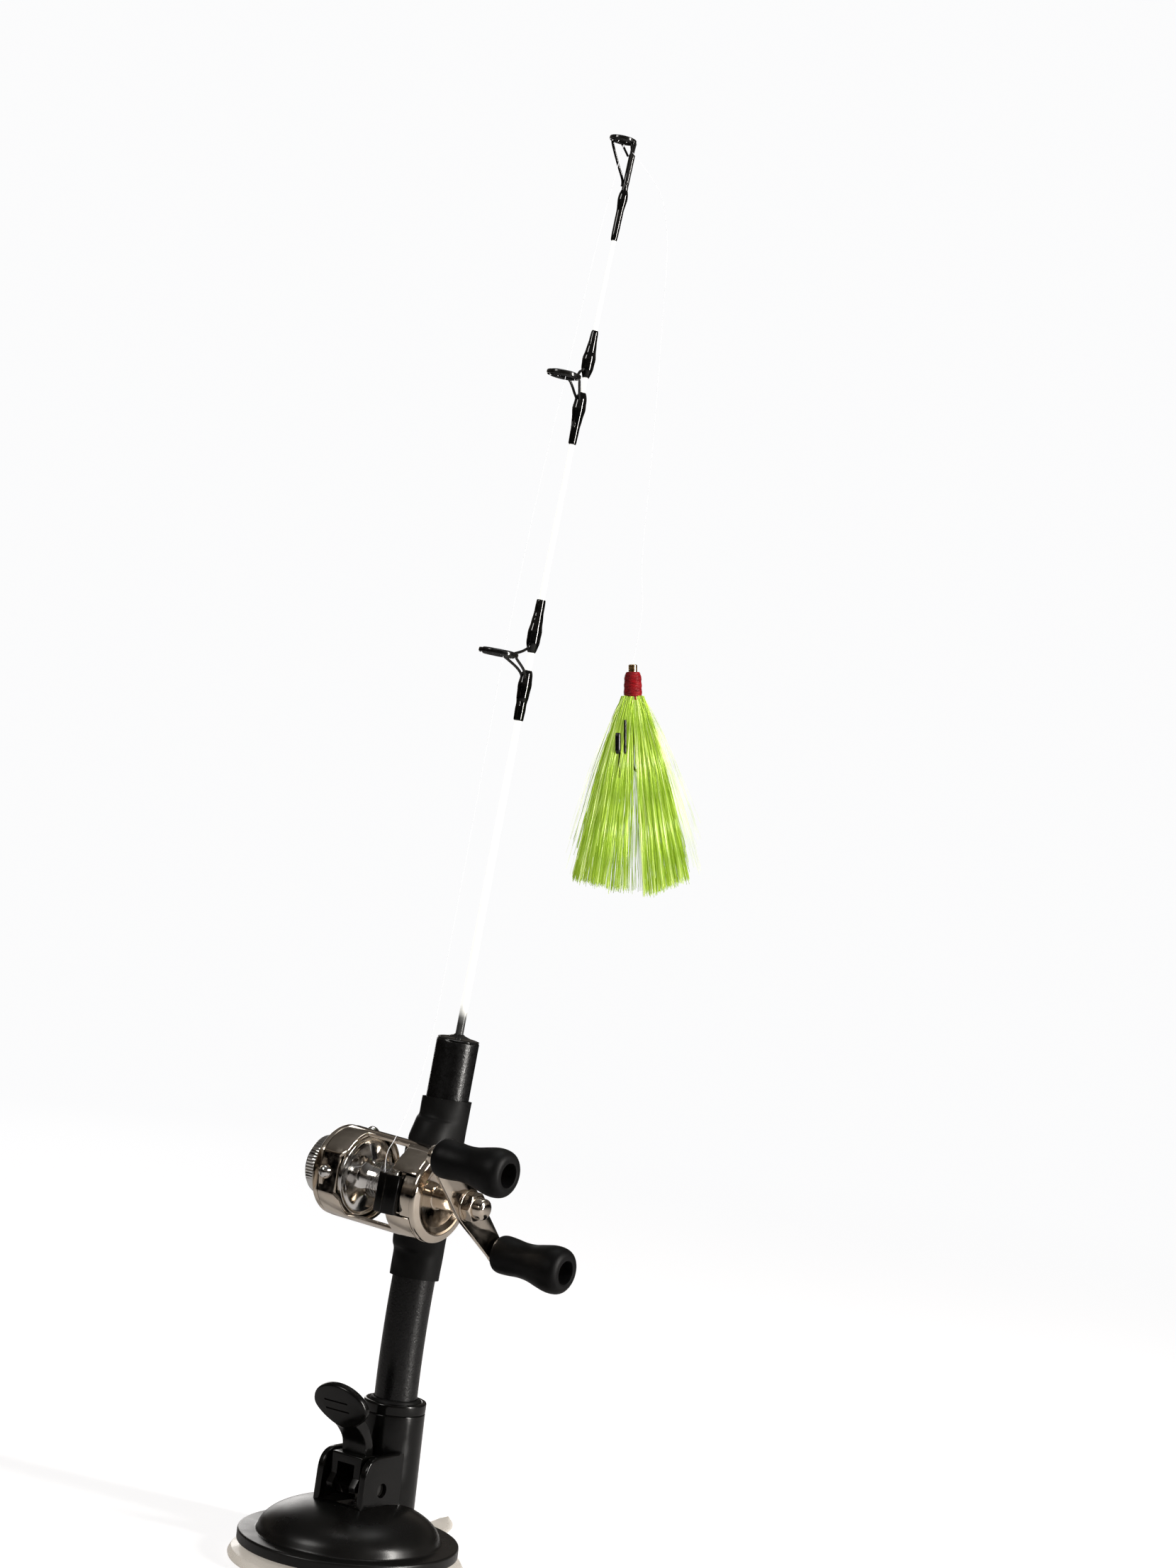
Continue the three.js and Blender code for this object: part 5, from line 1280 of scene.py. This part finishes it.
def build_floor():
    """A plain pale floor: it takes the shadow near the object and fades into the backdrop."""
    floor = turn(lathe("floor", [(radius, 0) for radius in FLOOR_RINGS], 64), shift(z=-FLOOR_DROP))
    shader = Shader("floor_white", (0.5, 0.49, 0.49), 0.9, Specular_IOR_Level=0.1,
                    Emission_Color=(*BACKDROP, 1))
    seen = shader.node("LightPath").outputs["Is Camera Ray"]
    pale = shader.node("Math", {1: FLOOR_GLOW}, {0: seen}, operation="MULTIPLY")
    shader.drive("Emission Strength", pale.outputs["Value"])
    glow = shader.node("Emission", {"Color": (*BACKDROP, 1)}, {"Strength": seen})
    distance = shader.node("VectorMath", None, {0: shader.place}, operation="LENGTH")
    fade = shader.node("MapRange", {"From Min": FADE_START, "From Max": FADE_END},
                       {"Value": distance.outputs["Value"]}, interpolation_type="SMOOTHSTEP")
    mix = shader.node("MixShader", None, {"Fac": fade.outputs["Result"], 1: shader.surface.outputs["BSDF"],
                                          2: glow.outputs["Emission"]})
    shader.tree.links.new(mix.outputs["Shader"], shader.tree.nodes["Material Output"].inputs["Surface"])
    floor.data.materials.append(shader.material)


def build_world():
    """A pale backdrop for the camera. Reflections and fill see a studio room, bright above and dim around."""
    world = bpy.data.worlds.new("studio")
    bpy.context.scene.world = world
    world.use_nodes = True
    tree = world.node_tree
    tree.nodes.clear()
    seen = add_node(tree, "LightPath").outputs["Is Camera Ray"]
    way = add_node(tree, "TexCoord").outputs["Generated"]
    parts = add_node(tree, "SeparateXYZ", None, {"Vector": way})
    level = add_node(tree, "MapRange", {"From Min": -1, "From Max": 1}, {"Value": parts.outputs["Z"]})
    clutter = add_node(tree, "TexNoise", {"Scale": 2.2, "Detail": 3}, {"Vector": way})
    push = add_node(tree, "Math", {1: 0.3, 2: -0.15}, {0: clutter.outputs["Fac"]}, operation="MULTIPLY_ADD")
    total = add_node(tree, "Math", None, {0: level.outputs["Result"], 1: push.outputs["Value"]},
                     operation="ADD")
    height = add_node(tree, "ValToRGB", None, {"Fac": total.outputs["Value"]})
    set_stops(height, ROOM)
    room = add_node(tree, "Background", {"Strength": ROOM_STRENGTH}, {"Color": height.outputs["Color"]})
    plain = add_node(tree, "Background", {"Color": (*BACKDROP, 1)})
    choose = add_node(tree, "MixShader", None, {"Fac": seen, 1: room.outputs["Background"],
                                                2: plain.outputs["Background"]})
    add_node(tree, "OutputWorld", None, {"Surface": choose.outputs["Shader"]})


def area_light(name, at, towards, size, power, color):
    data = bpy.data.lights.new(name, "AREA")
    data.shape = "RECTANGLE"
    data.size, data.size_y = size
    data.energy = power
    data.color = color
    lamp = bpy.data.objects.new(name, data)
    lamp.location = at
    lamp.rotation_mode = "QUATERNION"
    lamp.rotation_quaternion = (Vector(towards) - Vector(at)).to_track_quat("-Z", "Y")
    lamp.visible_camera = False
    bpy.context.scene.collection.objects.link(lamp)


def build_lights():
    middle = (0.01, 0, 0.16)
    area_light("key", (-0.35, -1.0, 0.85), middle, (0.3, 0.45), 5.5, (1, 0.98, 0.95))
    area_light("side", (1.05, 0.16, 0.35), middle, (0.08, 0.8), 22, (1, 0.97, 0.93))
    area_light("top", (-0.1, 0.25, 1.2), middle, (0.5, 0.5), 2.4, (1, 1, 1))
    area_light("back", (-0.8, 0.7, 0.25), middle, (0.3, 0.5), 1.2, (1, 0.98, 0.96))


CAMERA_AT = (0.5164, -0.6697, 0.2239)
CAMERA_AZIMUTH = math.radians(34.62)
CAMERA_ELEVATION = math.radians(-0.56)
CAMERA_ROLL = math.radians(6.47)
FOCAL_LENGTH = 66.7  # millimetres, on a 36 mm sensor along the frame's height


def build_camera():
    camera = bpy.data.objects.new("camera", bpy.data.cameras.new("camera"))
    bpy.context.scene.collection.objects.link(camera)
    camera.data.lens = FOCAL_LENGTH
    camera.data.sensor_width = 36
    camera.data.clip_start = 0.02
    a, e = CAMERA_AZIMUTH, CAMERA_ELEVATION
    forward = Vector((-math.sin(a) * math.cos(e), math.cos(a) * math.cos(e), -math.sin(e)))
    right = Vector((math.cos(a), math.sin(a), 0))
    up = right.cross(forward)
    side = right * math.cos(CAMERA_ROLL) + up * math.sin(CAMERA_ROLL)
    above = up * math.cos(CAMERA_ROLL) - right * math.sin(CAMERA_ROLL)
    turned = Matrix((side, above, -forward)).transposed().to_4x4()
    camera.matrix_world = Matrix.Translation(CAMERA_AT) @ turned
    bpy.context.scene.camera = camera


build_pad()
build_dome()
build_holder()
build_lever()
build_handle()
build_blank()
build_guides()
build_tip()
build_seat()
build_frame()
build_side()
build_tension_knob()
build_spool()
build_line_coils()
build_cover()
build_thumb_key()
build_crank()
build_knob("a", 1)
build_knob("b", -1)
build_line()
build_jig()
finish_hidden()
build_floor()
build_world()
build_lights()
build_camera()
bpy.context.scene.view_settings.view_transform = "Standard"
